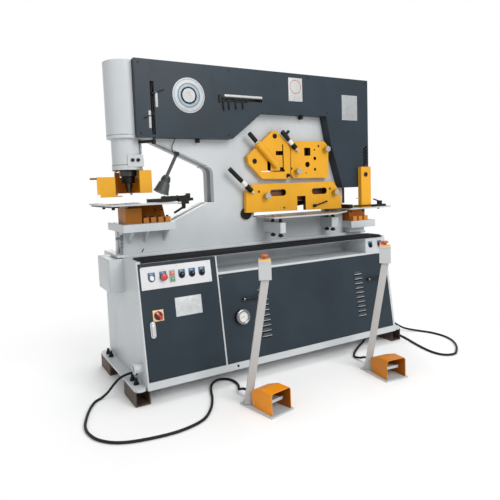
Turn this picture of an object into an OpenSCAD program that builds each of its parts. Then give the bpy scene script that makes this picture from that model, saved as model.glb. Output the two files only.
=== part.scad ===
// Twin-cylinder hydraulic ironworker: punch on the left, angle, bar and flat
// shears in the middle, notcher on the right, with two free-standing pedals.
// Millimetres, +Z up, +X right, the operator stands on the -Y side. The origin
// is on the floor, midway between the four anchor holes.

/* [Base cabinet] */
// Length of the cabinet
cab_l = 1800; // [1600:10:2200]
// Depth of the cabinet at its bottom
cab_d = 780; // [720:10:960]
// How far the front leans back from bottom to top
cab_lean = 105; // [60:5:140]
// Height of the cabinet above its feet
cab_h = 668; // [600:4:820]
// Height of the steel feet
foot_h = 80; // [60:5:120]
// Thickness of the cabinet's sheet
sheet_t = 4; // [3:0.5:6]
// Distance of the anchor holes from the cabinet's middle, along its length
anchor_x = 935; // [935:5:1150]
// Distance of the anchor holes from the cabinet's middle, front to back
anchor_y = 262; // [200:2:290]
// Diameter of an anchor hole
anchor_hole_d = 18; // [14:1:24]

/* [Frame] */
// Thickness of one frame plate
plate_t = 45; // [30:1:60]
// Gap between the two frame plates
plate_gap = 56; // [50:1:70]
// How far the frame's middle plane lies behind the cabinet's middle
frame_y = 48; // [20:1:70]
// Height of the frame above the cabinet
frame_h = 1092; // [1060:4:1300]
// Thickness of the frame's foot flange
flange_t = 15; // [10:1:25]
// Depth of the head cover in front of the frame
cover_depth = 75; // [70:1:110]
// Thickness of the covers' sheet
cover_t = 3; // [2:0.5:4]

/* [Punch station] */
// Place of the punch axis along the machine
punch_x = -815; // [-830:1:-800]
// Outside diameter of the punch cylinder
barrel_d = 174; // [150:2:186]
// Diameter of the punch ram
ram_d = 100; // [70:2:120]
// Stroke of the punch ram
punch_stroke = 80; // [40:2:82]
// Diameter of the bore that takes the die holder
die_bore_d = 64; // [40:2:80]
// Thickness of the punch table
table_t = 10; // [8:1:12]

/* [Shear station] */
// Place of the shear beam's pivot along the machine
pivot_x = -74; // [-90:2:-60]
// Diameter of the pivot pin
pivot_d = 76; // [60:2:84]
// Thickness of the shear beam between the plates
beam_t = 44; // [36:1:46]
// Thickness of a hold-down plate
guard_t = 30; // [20:1:35]
// Angle that the shear beam turns through
beam_turn = 5; // [3:0.5:5]

/* [Controls] */
// Diameter of a push-button's cap
button_d = 22; // [18:1:24]
// Diameter of an emergency stop's mushroom
mushroom_d = 40; // [34:1:44]
// Diameter of the pressure gauge
gauge_d = 86; // [60:2:100]

/* [Pedals] */
// Width of a pedal's hood
hood_w = 150; // [140:5:180]
// Height of a pedal's hood
hood_h = 121; // [106:1:150]
// Lean of a pedal's post to the right
post_lean = 9.5; // [6:0.5:15]
// Diameter of a pedal's cable
cable_d = 14; // [12:1:16]

/* [Hidden] */
$fn = 48;

light_grey = "#c8cccd";
anthracite = "#3c464e";
signal_yellow = "#f5ab24";
steel = "#a8a8a6";
black = "#1c1c1e";
rust = "#6b4a36";
white = "#e8e8e4";

run = 0.06;                  // running clearance round a shaft, radial
seat = 0.3;                  // gap between pieces that seat on each other
eps = 1;                     // how far a cut reaches past its wall

// Levels and planes
cab_z = foot_h;
top_z = foot_h + cab_h;
cab_x = cab_l / 2;
cab_y = cab_d / 2;
front_y = -cab_y;
lip_y = front_y + cab_lean;
lean = atan(cab_lean / cab_h);
top_t = 12;
rail_w = 66;
rail_half = 348;
flange_z = top_z + flange_t;
deck_z = 763;                // the flange's top in the frame's own heights, as on_frame() has them
plates_w = 2 * plate_t + plate_gap;
plate_front = frame_y - plates_w / 2;
plate_back = frame_y + plates_w / 2;
gap_front = frame_y - plate_gap / 2;
head_z = deck_z + frame_h;
frame_left = -893;
frame_right = 930;

// Punch station
barrel_r = barrel_d / 2;
nose_r = 110;
head_low = 1424;             // underside of the head
barrel_low = 1245;
ram_r = ram_d / 2;
tray_z0 = 895;
tray_z = 939;
bolster_z = 1040;
table_z = 1055;
punch_tip = 1118;
nut_z = 1170;
rod_x = -694;                // stroke scale rod
rod_y = plate_front - cover_depth + 14;
arm_turn = atan2(rod_y - frame_y, rod_x - punch_x);
arm_reach = norm([rod_x - punch_x, rod_y - frame_y]);
arm_z = 1396;
guide_x = 45;                // guide pins of the stripper
guide_y = frame_y + 108;

// Shear station
pivot_z = 951;
guard_y = plate_front - 15 - guard_t;
clamp_y = guard_y - 16;      // axis of the clamp screws
angle_clamp = [-4, 1403];
bar_clamp = [270, 1396];
flat_clamp = [-95, 1130];
screw_lead = 4;
tube_len = 34;
bench_z = 930;               // top of the shear table
angle_win = [20, 1205, 220, 1400];
bar_win = [366, 1195, 482, 1388];
flat_win = [-20, 925, 660, 1016];
piston_x = 800;
piston_top = 1350;
roller_r = 30;

// Notch station
notch_x0 = 745;
notch_sill = 850;
notch_top = 1092;
notch_table_z = 946;
notch_ram_x = 787;
notch_half = 24;
beam_low = 1230;             // underside of the beam over the notcher

// Lamp: its pin lies under the throat's sloping upper edge
throat_a = [-696, 1424];
throat_b = [-340, 1266];
throat_turn = atan((throat_a[1] - throat_b[1]) / (throat_b[0] - throat_a[0]));
lamp_drop = 14;
lamp_pivot = [-522 - lamp_drop * sin(throat_turn), plate_front + 22,
              throat_a[1] - (-522 - throat_a[0]) * tan(throat_turn)
              - lamp_drop * cos(throat_turn)];

// Cover
cover_y = plate_front - cover_depth;
cover_right = frame_right + 6;
cover_left = punch_x + 22;
cover_pts = [[cover_left, head_low], [-187, head_low], [34, 1593], [550, 1591], [590, 1398],
             [690, 1094], [cover_right, 1094], [cover_right, head_z + cover_t],
             [cover_left, head_z + cover_t]];
slot_x0 = -706;
slot_x1 = -684;

// Places on the sloping front, as x and height
door_x0 = -cab_x + 9.5;
door_x1 = -441;
divider_x = -431;
panel_low = 121;
bar_low = 628;
bar_high = 641;
hinge_x = -446;
hinge_depth = 6;
box_left = 711;

// Pedal stations: place on the floor and turn about the upright
station_left = [-395, -737, 11];
station_right = [412, -753, -6];
post_x = -48.5;
post_y = 88;
post_turn = -40;             // of the post and its box about the upright
post_w = 40;
box_w = 64;
box_z0 = 656;
box_h = 96;
pedal_axis_y = 38;
pedal_axis_z = 42;
relief_x = 8;                // strain relief behind the switch housing
relief_z = 38;
relief_end = 160;

// Middle of the post's top, in a pedal's own frame
function post_top() = [post_x + box_z0 * tan(post_lean) * cos(post_turn),
                       post_y + box_z0 * tan(post_lean) * sin(post_turn), box_z0];

// A point of a pedal's own frame, in the machine's frame
function from_station(s, p) = [s[0] + p[0] * cos(s[2]) - p[1] * sin(s[2]),
                               s[1] + p[0] * sin(s[2]) + p[1] * cos(s[2]), p[2]];
// Route of the left cable, from the cabinet to the pedal
cord_z = cable_d / 2 + 0.5;
left_route = [[-925, -190, 122], [-945, -190, 122], [-990, -185, 108], [-1025, -168, 70],
              [-1058, -155, 28], [-1095, -160, cord_z], [-1135, -191, cord_z],
              [-1180, -272, cord_z], [-1216, -368, cord_z], [-1237, -450, cord_z],
              [-1236, -530, cord_z], [-1208, -612, cord_z], [-1140, -682, cord_z],
              [-1028, -722, cord_z], [-872, -737, cord_z], [-735, -700, cord_z],
              [-650, -612, cord_z], [-590, -505, cord_z], [-552, -410, cord_z],
              [-508, -332, cord_z], [-452, -296, cord_z], [-402, -318, cord_z],
              [-384, -374, cord_z], [-392, -432, cord_z], [-414, -480, 13],
              from_station(station_left, [relief_x, 228, 22]),
              from_station(station_left, [relief_x, 196, 34]),
              from_station(station_left, [relief_x, relief_end + 16, relief_z]),
              from_station(station_left, [relief_x, relief_end, relief_z])];
// Route of the right cable, from the pedal to the cabinet
right_route = [from_station(station_right, [relief_x, relief_end, relief_z]),
               from_station(station_right, [relief_x, relief_end + 16, relief_z]),
               from_station(station_right, [relief_x, 200, 32]),
               from_station(station_right, [relief_x, 240, 16]), [450, -458, cord_z],
               [520, -392, cord_z], [610, -330, cord_z], [705, -270, cord_z],
               [790, -200, cord_z], [850, -135, cord_z], [910, -108, cord_z],
               [970, -125, cord_z], [1012, -180, cord_z], [1022, -270, cord_z],
               [1000, -380, cord_z], [960, -500, cord_z], [928, -610, cord_z],
               [915, -700, cord_z], [935, -768, cord_z], [1000, -792, cord_z],
               [1080, -748, cord_z], [1160, -680, cord_z], [1222, -595, cord_z],
               [1250, -500, cord_z], [1240, -400, cord_z], [1200, -310, cord_z],
               [1140, -240, 22], [1080, -205, 62], [1025, -192, 98], [965, -190, 118],
               [945, -190, 122], [925, -190, 122]];

// ---------------------------------------------------------------- helpers

// The frame and all that it carries, raised with the cabinet's top
module on_frame() {
  translate([0, 0, flange_z - deck_z]) children();
}

function slope_y(z) = front_y + (z - cab_z) * cab_lean / cab_h;

// Stands its children on the sloping front: local Z points outwards
module on_front(x, z) {
  translate([x, slope_y(z), z]) rotate([90 - lean, 0, 0]) children();
}

// Turns a drawing in X and Z into a slab between two planes of Y
module slab(y0, y1) {
  translate([0, y1, 0]) rotate([90, 0, 0]) linear_extrude(y1 - y0) children();
}

// A box given by its two corners
module span(a, b) {
  translate(a) cube(b - a);
}

// A cylinder along Y between two planes
module along_y(x, z, r, y0, y1) {
  translate([x, y0, z]) rotate([-90, 0, 0]) cylinder(r = r, h = y1 - y0);
}

// A cylinder along X between two planes
module along_x(y, z, r, x0, x1) {
  translate([x0, y, z]) rotate([0, 90, 0]) cylinder(r = r, h = x1 - x0);
}

// A hexagonal bolt head with a washer, its foot at the origin
module bolt_head(d) {
  cylinder(r = d * 1.1, h = d * 0.15);
  translate([0, 0, d * 0.15]) cylinder(r = d * 0.9, h = d * 0.6, $fn = 6);
}

// A socket screw's head on a front face at height y
module front_screw(x, z, y, r) {
  difference() {
    along_y(x, z, r, y - 8, y);
    along_y(x, z, r * 0.5, y - 8 - eps, y - 4);
  }
}

// The same outline, moved inwards by d at every side
function left_of(a, b) = let (v = (b - a) / norm(b - a)) [-v[1], v[0]];
function inset(pts, d) =
  let (n = len(pts))
  [for (i = [0:n - 1])
     let (a = left_of(pts[(i + n - 1) % n], pts[i]), b = left_of(pts[i], pts[(i + 1) % n]))
     pts[i] + d * (a + b) / (1 + a * b)];

// Points of a tube's rings, and the tube swept along a route
function unit(v) = v / norm(v);
function heading(route, i) =
  unit(route[min(i + 1, len(route) - 1)] - route[max(i - 1, 0)]);
function side_of(h) = unit(cross(h, [0, 0, 1]));
function ring_at(route, i, r, sides) =
  let (h = heading(route, i), s = side_of(h), u = cross(s, h))
  [for (k = [0:sides - 1]) route[i] + r * (cos(360 * (k + 0.5) / sides) * s
                                          + sin(360 * (k + 0.5) / sides) * u)];

module tube_along(route, r, sides) {
  n = len(route);
  points = [for (i = [0:n - 1]) each ring_at(route, i, r, sides)];
  sides_faces = [for (i = [0:n - 2], k = [0:sides - 1])
    [i * sides + k, i * sides + (k + 1) % sides,
     (i + 1) * sides + (k + 1) % sides, (i + 1) * sides + k]];
  start_face = [for (k = [sides - 1:-1:0]) k];
  end_face = [for (k = [0:sides - 1]) (n - 1) * sides + k];
  polyhedron(points, concat([start_face], sides_faces, [end_face]));
}

// ---------------------------------------------------------------- frame

// Outline of a frame plate in X and Z
module plate_outline() {
  union() {
    difference() {
      polygon([[frame_left, deck_z], [frame_right, deck_z], [frame_right, notch_sill],
               [notch_x0, notch_sill], [notch_x0, notch_top], [frame_right, notch_top],
               [frame_right, head_z], [punch_x, head_z], [punch_x, head_low],
               throat_a, throat_b, [-299, throat_b[1]], [-299, 1050], [-340, 1036],
               [-560, tray_z0 + 43], [-606, tray_z0 + 43], [-606, tray_z0],
               [frame_left, tray_z0]]);
      translate([-340, 1216]) circle(r = 41);
      translate([-340, 1036]) square([41, 180]);
    }
    difference() {
      translate([-340, 1216]) square([42, 50]);
      translate([-340, 1216]) circle(r = 41);
    }
  }
}

module window(w) {
  translate([w[0], w[1]]) square([w[2] - w[0], w[3] - w[1]]);
}

// Room in both plates for the shear cylinder
shear_barrel_r = 66;
barrel_win = [piston_x - shear_barrel_r - 4, 1466, piston_x + shear_barrel_r + 4, 1778];

module frame_plate(y0) {
  slab(y0, y0 + plate_t) difference() {
    plate_outline();
    window(angle_win);
    window(bar_win);
    window(flat_win);
    window(barrel_win);
    translate([pivot_x, pivot_z]) circle(r = pivot_d / 2);
  }
}

// The front plate is cut back round the nose and threaded for the guards
module frame_front_plate() {
  on_frame() {
    color(light_grey) difference() {
      frame_plate(plate_front);
      translate([punch_x, frame_y, head_low - eps]) cylinder(r = barrel_r + seat, h = head_z);
    }
  }
}

module frame_rear_plate() {
  on_frame() {
    color(light_grey) difference() {
      frame_plate(plate_back - plate_t);
      translate([punch_x, frame_y, head_low - eps]) cylinder(r = barrel_r + seat, h = head_z);
    }
  }
}

// Foot flange, spacers between the plates, pivot pin and the punch tray
module frame_base() {
  on_frame() {
    tray_front = plate_front - 115;
    tray_back = plate_back + 79;
    tray_left = frame_left - 19;
    tray_right = -606;
    gusset_w = 10;
    color(light_grey) {
      span([-cab_x - 30, plate_front - 20, deck_z - flange_t],
           [cab_x + 50, plate_back + 20, deck_z]);
      // Spacers that hold the plates apart
      for (s = [[frame_left + 10, 790, 80, 95], [-500, 790, 60, 60], [250, 790, 60, 60],
                [700, 780, 200, 56], [-560, 1500, 60, 200], [-120, 1700, 60, 60],
                [500, 1700, 60, 60], [880, 1420, 40, 60]])
        span([s[0], gap_front, s[1]], [s[0] + s[2], gap_front + plate_gap, s[1] + s[3]]);
      // Guides of the notching ram, in the upper arm
      for (x = [[notch_x0, notch_ram_x - notch_half - seat],
                [notch_ram_x + notch_half + seat, notch_ram_x + notch_half + 18]])
        span([x[0], gap_front, notch_top], [x[1], gap_front + plate_gap, notch_top + 44]);
    }
    color(steel) {
      along_y(pivot_x, pivot_z, pivot_d / 2, plate_front - 14, plate_back + 14);
      // lamp bracket: two ears and a pin
      along_y(lamp_pivot[0], lamp_pivot[2], 4, lamp_pivot[1] - 18, lamp_pivot[1] + 18);
      for (s = [-1, 1]) translate(lamp_pivot) rotate([0, throat_turn, 0])
        span([-10, s * 15.5 - 2.5, -8], [10, s * 15.5 + 2.5, lamp_drop]);
    }
    color(light_grey) difference() {
      union() {
        span([tray_left, tray_front, tray_z0], [tray_right, tray_back, tray_z]);
        for (x = [-850, -760, -640])
          translate([x, plate_front, tray_z0]) rotate([90, 0, -90]) translate([0, 0, -gusset_w / 2])
            linear_extrude(gusset_w) polygon([[0, 0], [92, 0], [80, -10], [0, -75]]);
      }
      translate([punch_x, frame_y, tray_z0 - eps]) cylinder(r = 34, h = 60);
    }
  }
}

module nose_housing() {
  on_frame() {
    skirt_x = cover_left - 1.5;
    color(light_grey) difference() {
      union() {
        difference() {
          union() {
            translate([punch_x, frame_y, head_low]) cylinder(r = nose_r, h = head_z - head_low);
            translate([punch_x, frame_y, head_low + 20]) cylinder(r = nose_r + 1.5, h = 3);
          }
          span([punch_x, frame_y - 200, head_low - eps], [punch_x + 200, frame_y + 200, head_z + eps]);
        }
        span([punch_x - 1, frame_y - nose_r, head_low], [skirt_x, frame_y + nose_r, head_z]);
      }
      translate([punch_x, frame_y, head_low - eps])
        cylinder(r = barrel_r + seat, h = head_z - head_low - 3);
      span([punch_x, plate_front - seat, head_low - eps],
           [punch_x + 200, plate_back + seat, head_z + eps]);
    }
  }
}

// Barrel with the flat pad, two screws and the slot for the scale arm
module punch_cylinder() {
  on_frame() {
    barrel_top = 1780;
    color(light_grey) difference() {
      union() {
        translate([punch_x, frame_y, barrel_low]) cylinder(r = barrel_r, h = barrel_top - barrel_low);
        translate([punch_x, frame_y, barrel_low]) cylinder(r = barrel_r + 2, h = 28);
        span([punch_x - 23, frame_y - barrel_r - 4, 1262], [punch_x + 70, frame_y - 40, 1330]);
      }
      translate([punch_x, frame_y, barrel_low - eps]) cylinder(r = ram_r + run, h = 480);
      translate([punch_x, frame_y, 1305]) rotate([0, 0, arm_turn]) span([0, -11, 0], [120, 11, 114]);
    }
    // lugs and guide pins of the stripper
    color(steel) for (s = [-1, 1]) translate([punch_x + s * guide_x, 0, 0]) {
      span([-12, frame_y + sqrt(barrel_r * barrel_r - guide_x * guide_x) - 6, 1262],
           [12, guide_y + 14, 1296]);
      translate([0, guide_y, 1100]) cylinder(r = 8, h = 170);
    }
    color(black) {
      for (x = [4, 36]) front_screw(punch_x + x, 1300, frame_y - barrel_r - 4, 7);
    }
  }
}

// ---------------------------------------------------------------- covers

// A cover's folded shell: its panel and the returns round the outline
module cover_shell(panel_y, y0, y1) {
  slab(panel_y, panel_y + cover_t) polygon(cover_pts);
  slab(y0, y1) difference() {
    polygon(cover_pts);
    polygon(inset(cover_pts, cover_t));
  }
}

// Front shell of the head, with the scale slot and louvres
module head_cover() {
  on_frame() {
    back = plate_front - 3;
    color(anthracite) difference() {
      union() {
        cover_shell(cover_y, cover_y, back);
        span([cover_left, cover_y, head_z + 0.2], [cover_right, frame_y - 0.2, head_z + cover_t]);
      }
      span([slot_x0, cover_y - eps, 1440], [slot_x1, cover_y + cover_t + eps, 1737]);
      // way for the scale rod, the nose and the barrel
      span([rod_x - 16, cover_y + cover_t + 2, head_low - eps], [rod_x + 16, back + eps, head_low + 8]);
      span([cover_left - eps, frame_y - nose_r - 3, head_low - eps],
           [punch_x + nose_r + 4, back + eps, head_low + 8]);
      span([cover_left - eps, frame_y - nose_r - 3, head_low - eps],
           [cover_left + cover_t + eps, back + eps, head_z]);
      span([-274, cover_y - eps, 1656], [34, cover_y + cover_t + eps, 1672]);
      for (k = [0:5]) translate([903, cover_y - eps, 1258 + k * 22])
        rotate([0, -35, 0]) cube([30, cover_t + 2 * eps, 7]);
    }
    head_plates();
  }
}

module rear_cover() {
  on_frame() {
    back_y = plate_back + cover_depth;
    color(anthracite) difference() {
      union() {
        cover_shell(back_y - cover_t, plate_back + 3, back_y);
        span([cover_left, frame_y + 0.2, head_z + 0.2], [cover_right, back_y, head_z + cover_t]);
      }
      span([cover_left - eps, plate_back, head_low - eps],
           [punch_x + nose_r + 4, frame_y + nose_r + 3, head_low + 8]);
      span([cover_left - eps, plate_back, head_low - eps],
           [cover_left + cover_t + eps, frame_y + nose_r + 3, head_z]);
      for (k = [0:5]) translate([500 + k * 40, back_y - cover_t - eps, 1700])
        cube([12, cover_t + 2 * eps, 90]);
    }
  }
}

// Round plate, plain plates, scale strips and the key rack on the cover
module head_plates() {
  y = cover_y;
  color(white) {
    along_y(-472, 1671, 102, y - 2, y);
    span([239, y - 1.5, 1677], [350, y, 1829]);
    span([691, y - 1.5, 1569], [833, y, 1743]);
    span([-678, y - 1.5, 1595], [-664, y, 1680]);
    span([-722, y - 1.5, 1476], [-708, y, 1573]);
    span([-236, y - 1.5, 1678], [34, y, 1692]);
  }
  color(black) {
    span([-276, y - 10, 1642], [-262, y, 1686]);
    for (x = [-249, -211, -163, -113]) {
      along_x_bar = 26;
      translate([x, y - 5, 1606]) cylinder(r = 3, h = 62, $fn = 24);
      translate([x, y - 5, 1665]) rotate([0, 90, 0]) cylinder(r = 3, h = along_x_bar, $fn = 24);
    }
    span([-262, y - 5, 1650], [-80, y, 1656]);
  }
}

// ---------------------------------------------------------------- cabinet

// One side sheet of the cabinet; its front edge lies just behind the frame
module side_sheet(x0) {
  translate([x0, 0, 0]) rotate([90, 0, 90]) linear_extrude(sheet_t)
    polygon([[front_y + 1, cab_z], [cab_y, cab_z], [cab_y, top_z], [lip_y + 1, top_z]]);
}

// A bar that lies in the sloping front, from height z0 to z1
module front_bar(x0, x1, z0, z1, deep) {
  translate([x0, 0, 0]) rotate([90, 0, 90]) linear_extrude(x1 - x0)
    polygon([[slope_y(z0), z0], [slope_y(z0) + deep, z0], [slope_y(z1) + deep, z1],
             [slope_y(z1), z1]]);
}

module cabinet() {
  shelf_back = -60;
  color(light_grey) difference() {
    union() {
      side_sheet(-cab_x);
      side_sheet(cab_x - sheet_t);
      span([-cab_x, cab_y - sheet_t, cab_z], [cab_x, cab_y, top_z]);
      span([-cab_x, front_y + 2, cab_z], [cab_x, cab_y, cab_z + sheet_t]);
      span([-cab_x, lip_y, top_z - top_t], [cab_x, cab_y, top_z]);
      // frame of the front
      front_bar(-cab_x, cab_x, cab_z, panel_low - 1.5, 22);
      front_bar(-cab_x, -cab_x + 8, cab_z, top_z - 3, 22);
      front_bar(cab_x - 17, cab_x, cab_z, top_z - 3, 22);
      front_bar(divider_x - 5, divider_x + 4, cab_z, top_z - 3, 22);
      front_bar(divider_x, cab_x, bar_low, bar_high, 22);
      // shelf with its back and right wall
      span([divider_x, slope_y(bar_high) + 20, bar_low + 4], [box_left, shelf_back, bar_low + 8]);
      span([divider_x, shelf_back, bar_low + 4], [cab_x - sheet_t, shelf_back + 3, top_z - top_t]);
      span([divider_x, slope_y(bar_low) + 24, bar_low + 4],
           [divider_x + 3, shelf_back, top_z - top_t]);
      // control corner on the right
      front_bar(box_left, cab_x, bar_high - 1, top_z - 3, 3);
      span([box_left, slope_y(bar_high) + 4, bar_low + 4], [box_left + 3, shelf_back, top_z - top_t]);
      // partition behind the divider
      span([divider_x - 2, slope_y(400) + 60, cab_z], [divider_x + 2, cab_y, bar_low]);
      // white foot rails along both sides, with round ends
      for (s = [-1, 1]) translate([s * (cab_x + rail_w / 2 - 1), 0, cab_z]) linear_extrude(15) {
        square([rail_w, 2 * rail_half], center = true);
        for (y = [-1, 1]) translate([0, y * rail_half]) circle(r = rail_w / 2);
      }
    }
    // holes for the rail bolts
    for (s = [-1, 1], y = [-1, 1], d = [-34, 34])
      translate([s * anchor_x, y * anchor_y + d, cab_z - eps]) cylinder(r = 8.5, h = 15 + 2 * eps);
    // holes for the selector and the stop of the control corner
    on_front(760, 690) cylinder(r = 5 + run, h = 20, center = true);
    on_front(845, 690) cylinder(r = 5 + run, h = 20, center = true);
    // cable entries
    along_x(-190, 122, cable_d / 2 + 5, -cab_x - eps, -cab_x + sheet_t + eps);
    along_x(-190, 122, cable_d / 2 + 5, cab_x - sheet_t - eps, cab_x + eps);
    // drain hole in the bottom rail
    on_front(-362, 100) cylinder(r = 6, h = 60, center = true);
    // slug chute and the way for pipes into the frame
    translate([punch_x, frame_y, top_z - top_t - eps]) cylinder(r = 36, h = top_t + 2 * eps);
    span([560, gap_front, top_z - top_t - eps], [660, gap_front + plate_gap, top_z + eps]);
  }
  // pins that the electrics door turns on
  color(steel) for (end = [0, 1]) {
    z = end == 0 ? panel_low - 1.5 : top_z - 26;
    on_front(hinge_x, z) translate([0, 0, -hinge_depth]) rotate([-90, 0, 0])
      cylinder(r = 2.5, h = 14);
  }
  color(light_grey) on_front(hinge_x, top_z - 12.5) translate([-5, 0, -hinge_depth - 6])
    cube([18, 4, 10]);
  // bezels of the control corner
  color(black) for (x = [760, 845]) on_front(x, 690) difference() {
    cylinder(r = 15, h = 7);
    translate([0, 0, -eps]) cylinder(r = 12, h = 7 + 2 * eps);
  }
}

// Four rusty box-section feet with their paired bolts
module cabinet_feet() {
  foot_l = 212;
  foot_w = 82;
  wall = 6;
  bolt_r = 8;
  for (sx = [-1, 1], sy = [-1, 1]) translate([sx * (anchor_x - 11), sy * anchor_y, 0]) {
    color(rust) difference() {
      span([-foot_w / 2, -foot_l / 2, 0], [foot_w / 2, foot_l / 2, foot_h]);
      span([-foot_w / 2 + wall, -foot_l / 2 - eps, wall],
           [foot_w / 2 - wall, foot_l / 2 + eps, foot_h - wall]);
      translate([sx * 11, 0, -eps]) cylinder(r = anchor_hole_d / 2, h = wall + 2 * eps);
      for (d = [-34, 34]) translate([sx * 11, d, foot_h - wall - eps])
        cylinder(r = bolt_r + 0.5, h = wall + 2 * eps);
    }
    color(black) for (d = [-34, 34]) translate([sx * 11, d, 0]) {
      translate([0, 0, foot_h - wall - 14]) cylinder(r = bolt_r, h = 70);
      translate([0, 0, foot_h + 15]) cylinder(r = 15, h = 3);
      translate([0, 0, foot_h + 18]) cylinder(r = 13, h = 13, $fn = 6);
      translate([0, 0, foot_h - wall - 13]) cylinder(r = 13, h = 13, $fn = 6);
    }
  }
}

// Oil tank, motor, pump, valve block, electrics plate and the gauge on its pipe
module power_unit() {
  cord_z = cab_z + sheet_t;
  color("#55606a") {
    span([-400, -120, cord_z], [250, 340, 430]);
    translate([-250, 60, 430]) cylinder(r = 36, h = 22);
  }
  color("#2f5d7c") {
    along_x(110, 560, 78, -160, 130);
    span([-110, 60, 430], [80, 160, 500]);
  }
  color(steel) {
    along_x(110, 560, 48, 130, 230);
    span([150, 70, 430], [215, 150, 520]);
    span([420, -60, cord_z], [640, 120, 330]);
    for (x = [460, 530, 600]) translate([x, 30, 330]) cylinder(r = 22, h = 70);
  }
  // shear cylinder, hung in the windows of both frame plates
  color(light_grey) on_frame() {
    difference() {
      translate([piston_x, frame_y, 1470]) cylinder(r = shear_barrel_r, h = 302);
      translate([piston_x, frame_y, 1470 - eps]) cylinder(r = 24 + run, h = 210);
    }
    span([barrel_win[0], plate_front + 2, 1770], [barrel_win[2], plate_back - 2, barrel_win[3]]);
  }
  // plate with the switchgear behind the door
  color(white) {
    span([-860, 360, 140], [-470, 366, 690]);
    span([-860, 366, 300], [-470, cab_y - sheet_t, 340]);
  }
  color("#d8d8d4") for (k = [0:4]) span([-840 + 72 * k, 290, 470], [-786 + 72 * k, 360, 560]);
  color("#d8d8d4") for (k = [0:2]) span([-830 + 110 * k, 280, 270], [-750 + 110 * k, 360, 390]);
  // gauge held by its pipe, showing through the louvred cover
  color(steel) {
    on_front(-306, 371) translate([0, 0, -130]) cylinder(r = 9, h = 122);
    span([-320, slope_y(371) + 100, 340], [-280, -120, 400]);
  }
  color("#e6e6e2") on_front(-306, 371) difference() {
    translate([0, 0, -8]) cylinder(r = gauge_d / 2, h = 34);
    translate([0, 0, 21]) cylinder(r = gauge_d / 2 - 6, h = 6);
  }
}

// Wiring box on the left side, the pipe stub above the cable and both glands
module junction_box() {
  box_top = top_z - 6;
  color(light_grey) {
    span([-cab_x - 80, -48, box_top - 192], [-cab_x, 215, box_top]);
    difference() {
      along_x(-300, 182, 25, -cab_x - 48, -cab_x);
      along_x(-300, 182, 20, -cab_x - 48 - eps, -cab_x - 12);
    }
  }
  color(black) for (s = [-1, 1]) {
    along_x(-190, 122, cable_d / 2 + 8, s > 0 ? cab_x : -cab_x - 8, s > 0 ? cab_x + 8 : -cab_x);
    along_x(-190, 122, cable_d / 2 + 4, s > 0 ? cab_x : -cab_x - 25,
            s > 0 ? cab_x + 25 : -cab_x);
  }
}

// ---------------------------------------------------------------- stations

module punch_table() {
  on_frame() {
    table_x0 = -990;
    table_x1 = -600;
    table_y0 = -225;
    table_y1 = 321;
    color(white) difference() {
      span([table_x0, table_y0, table_z - table_t], [table_x1, table_y1, table_z]);
      translate([punch_x, frame_y, table_z - table_t - eps]) cylinder(r = 62, h = table_t + 2 * eps);
      for (x = [-960, -880, -720, -640]) span([x, -190, table_z - table_t - eps],
                                              [x + 10, -110, table_z + eps]);
    }
    color(black) {
      span([-984, -200, table_z - table_t - 8], [-944, 290, table_z - table_t]);
      for (y = [-150, 60]) translate([-964, y, table_z - table_t - 20])
        cylinder(r = 9, h = 12, $fn = 6);
      // brackets that carry the table on the bolster
      for (y = [frame_y - 118, frame_y + 96])
        span([-944, y, table_z - table_t - 5], [-640, y + 22, table_z - table_t]);
    }
  }
}

// Yellow die holder with its bore, and the row of clamp blocks
module die_bolster() {
  on_frame() {
    color(signal_yellow) difference() {
      union() {
        span([-859, frame_y - 108, tray_z], [-640, frame_y + 108, bolster_z]);
        span([-885, frame_y - 138, tray_z], [-790, frame_y - 58, bolster_z - 14]);
      }
      translate([punch_x, frame_y, bolster_z - 45]) cylinder(r = die_bore_d / 2, h = 46);
      translate([punch_x, frame_y, tray_z - eps]) cylinder(r = die_bore_d / 2 - 8, h = 70);
      // sloping face on the right of the front block
      translate([-790 + 0.2, frame_y - 108, bolster_z + eps]) rotate([90, 0, 90])
        linear_extrude(170) polygon([[-1, -72], [-1, 1], [42, 1]]);
    }
    color("#e8801c") for (k = [0:3])
      span([-780 + 44 * k, frame_y - 138, tray_z], [-750 + 44 * k, frame_y - 108, tray_z + 31]);
    color(black) for (k = [0:3])
      translate([-765 + 44 * k, frame_y - 123, tray_z + 31]) cylinder(r = 8, h = 8, $fn = 6);
  }
}

module guard_feet(points) {
  for (p = points) along_y(p[0], p[1], 12, guard_y + guard_t, plate_front);
}

// Yellow plate of the angle shear, with its clamp tube across the corner
module angle_holddown() {
  on_frame() {
    color(signal_yellow) difference() {
      union() {
        slab(guard_y, guard_y + guard_t) difference() {
          union() {
            polygon([[-72, 1321], [-62, 1270], [38, 1172], [257, 1167], [262, 1377], [237, 1414],
                     [172, 1470], [110, 1470]]);
            translate([141, 1450]) circle(r = 36);
          }
          // L-shaped slot for the angle bar, with its two relief windows
          translate([198, 1217]) square([8, 180]);
          translate([29, 1217]) square([178, 7]);
          translate([146, 1325]) square([60, 28]);
          translate([77, 1224]) square([25, 63]);
          translate([206, 1224]) circle(r = 8);
          translate([176, 1220]) square([30, 26]);
        }
        guard_feet([[0, 1290], [230, 1190], [141, 1450]]);
        translate([angle_clamp[0], clamp_y, angle_clamp[1]]) rotate([0, 136, 0])
          cylinder(r = 21, h = 208);
      }
      translate([angle_clamp[0], clamp_y, angle_clamp[1]]) rotate([0, 136, 0])
        translate([0, 0, -eps]) cylinder(r = 9 + run, h = 240);
    }
    color(black) {
      for (p = [[141, 1450], [-19, 1287], [240, 1187]]) front_screw(p[0], p[1], guard_y, 13);
    }
  }
}

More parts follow.
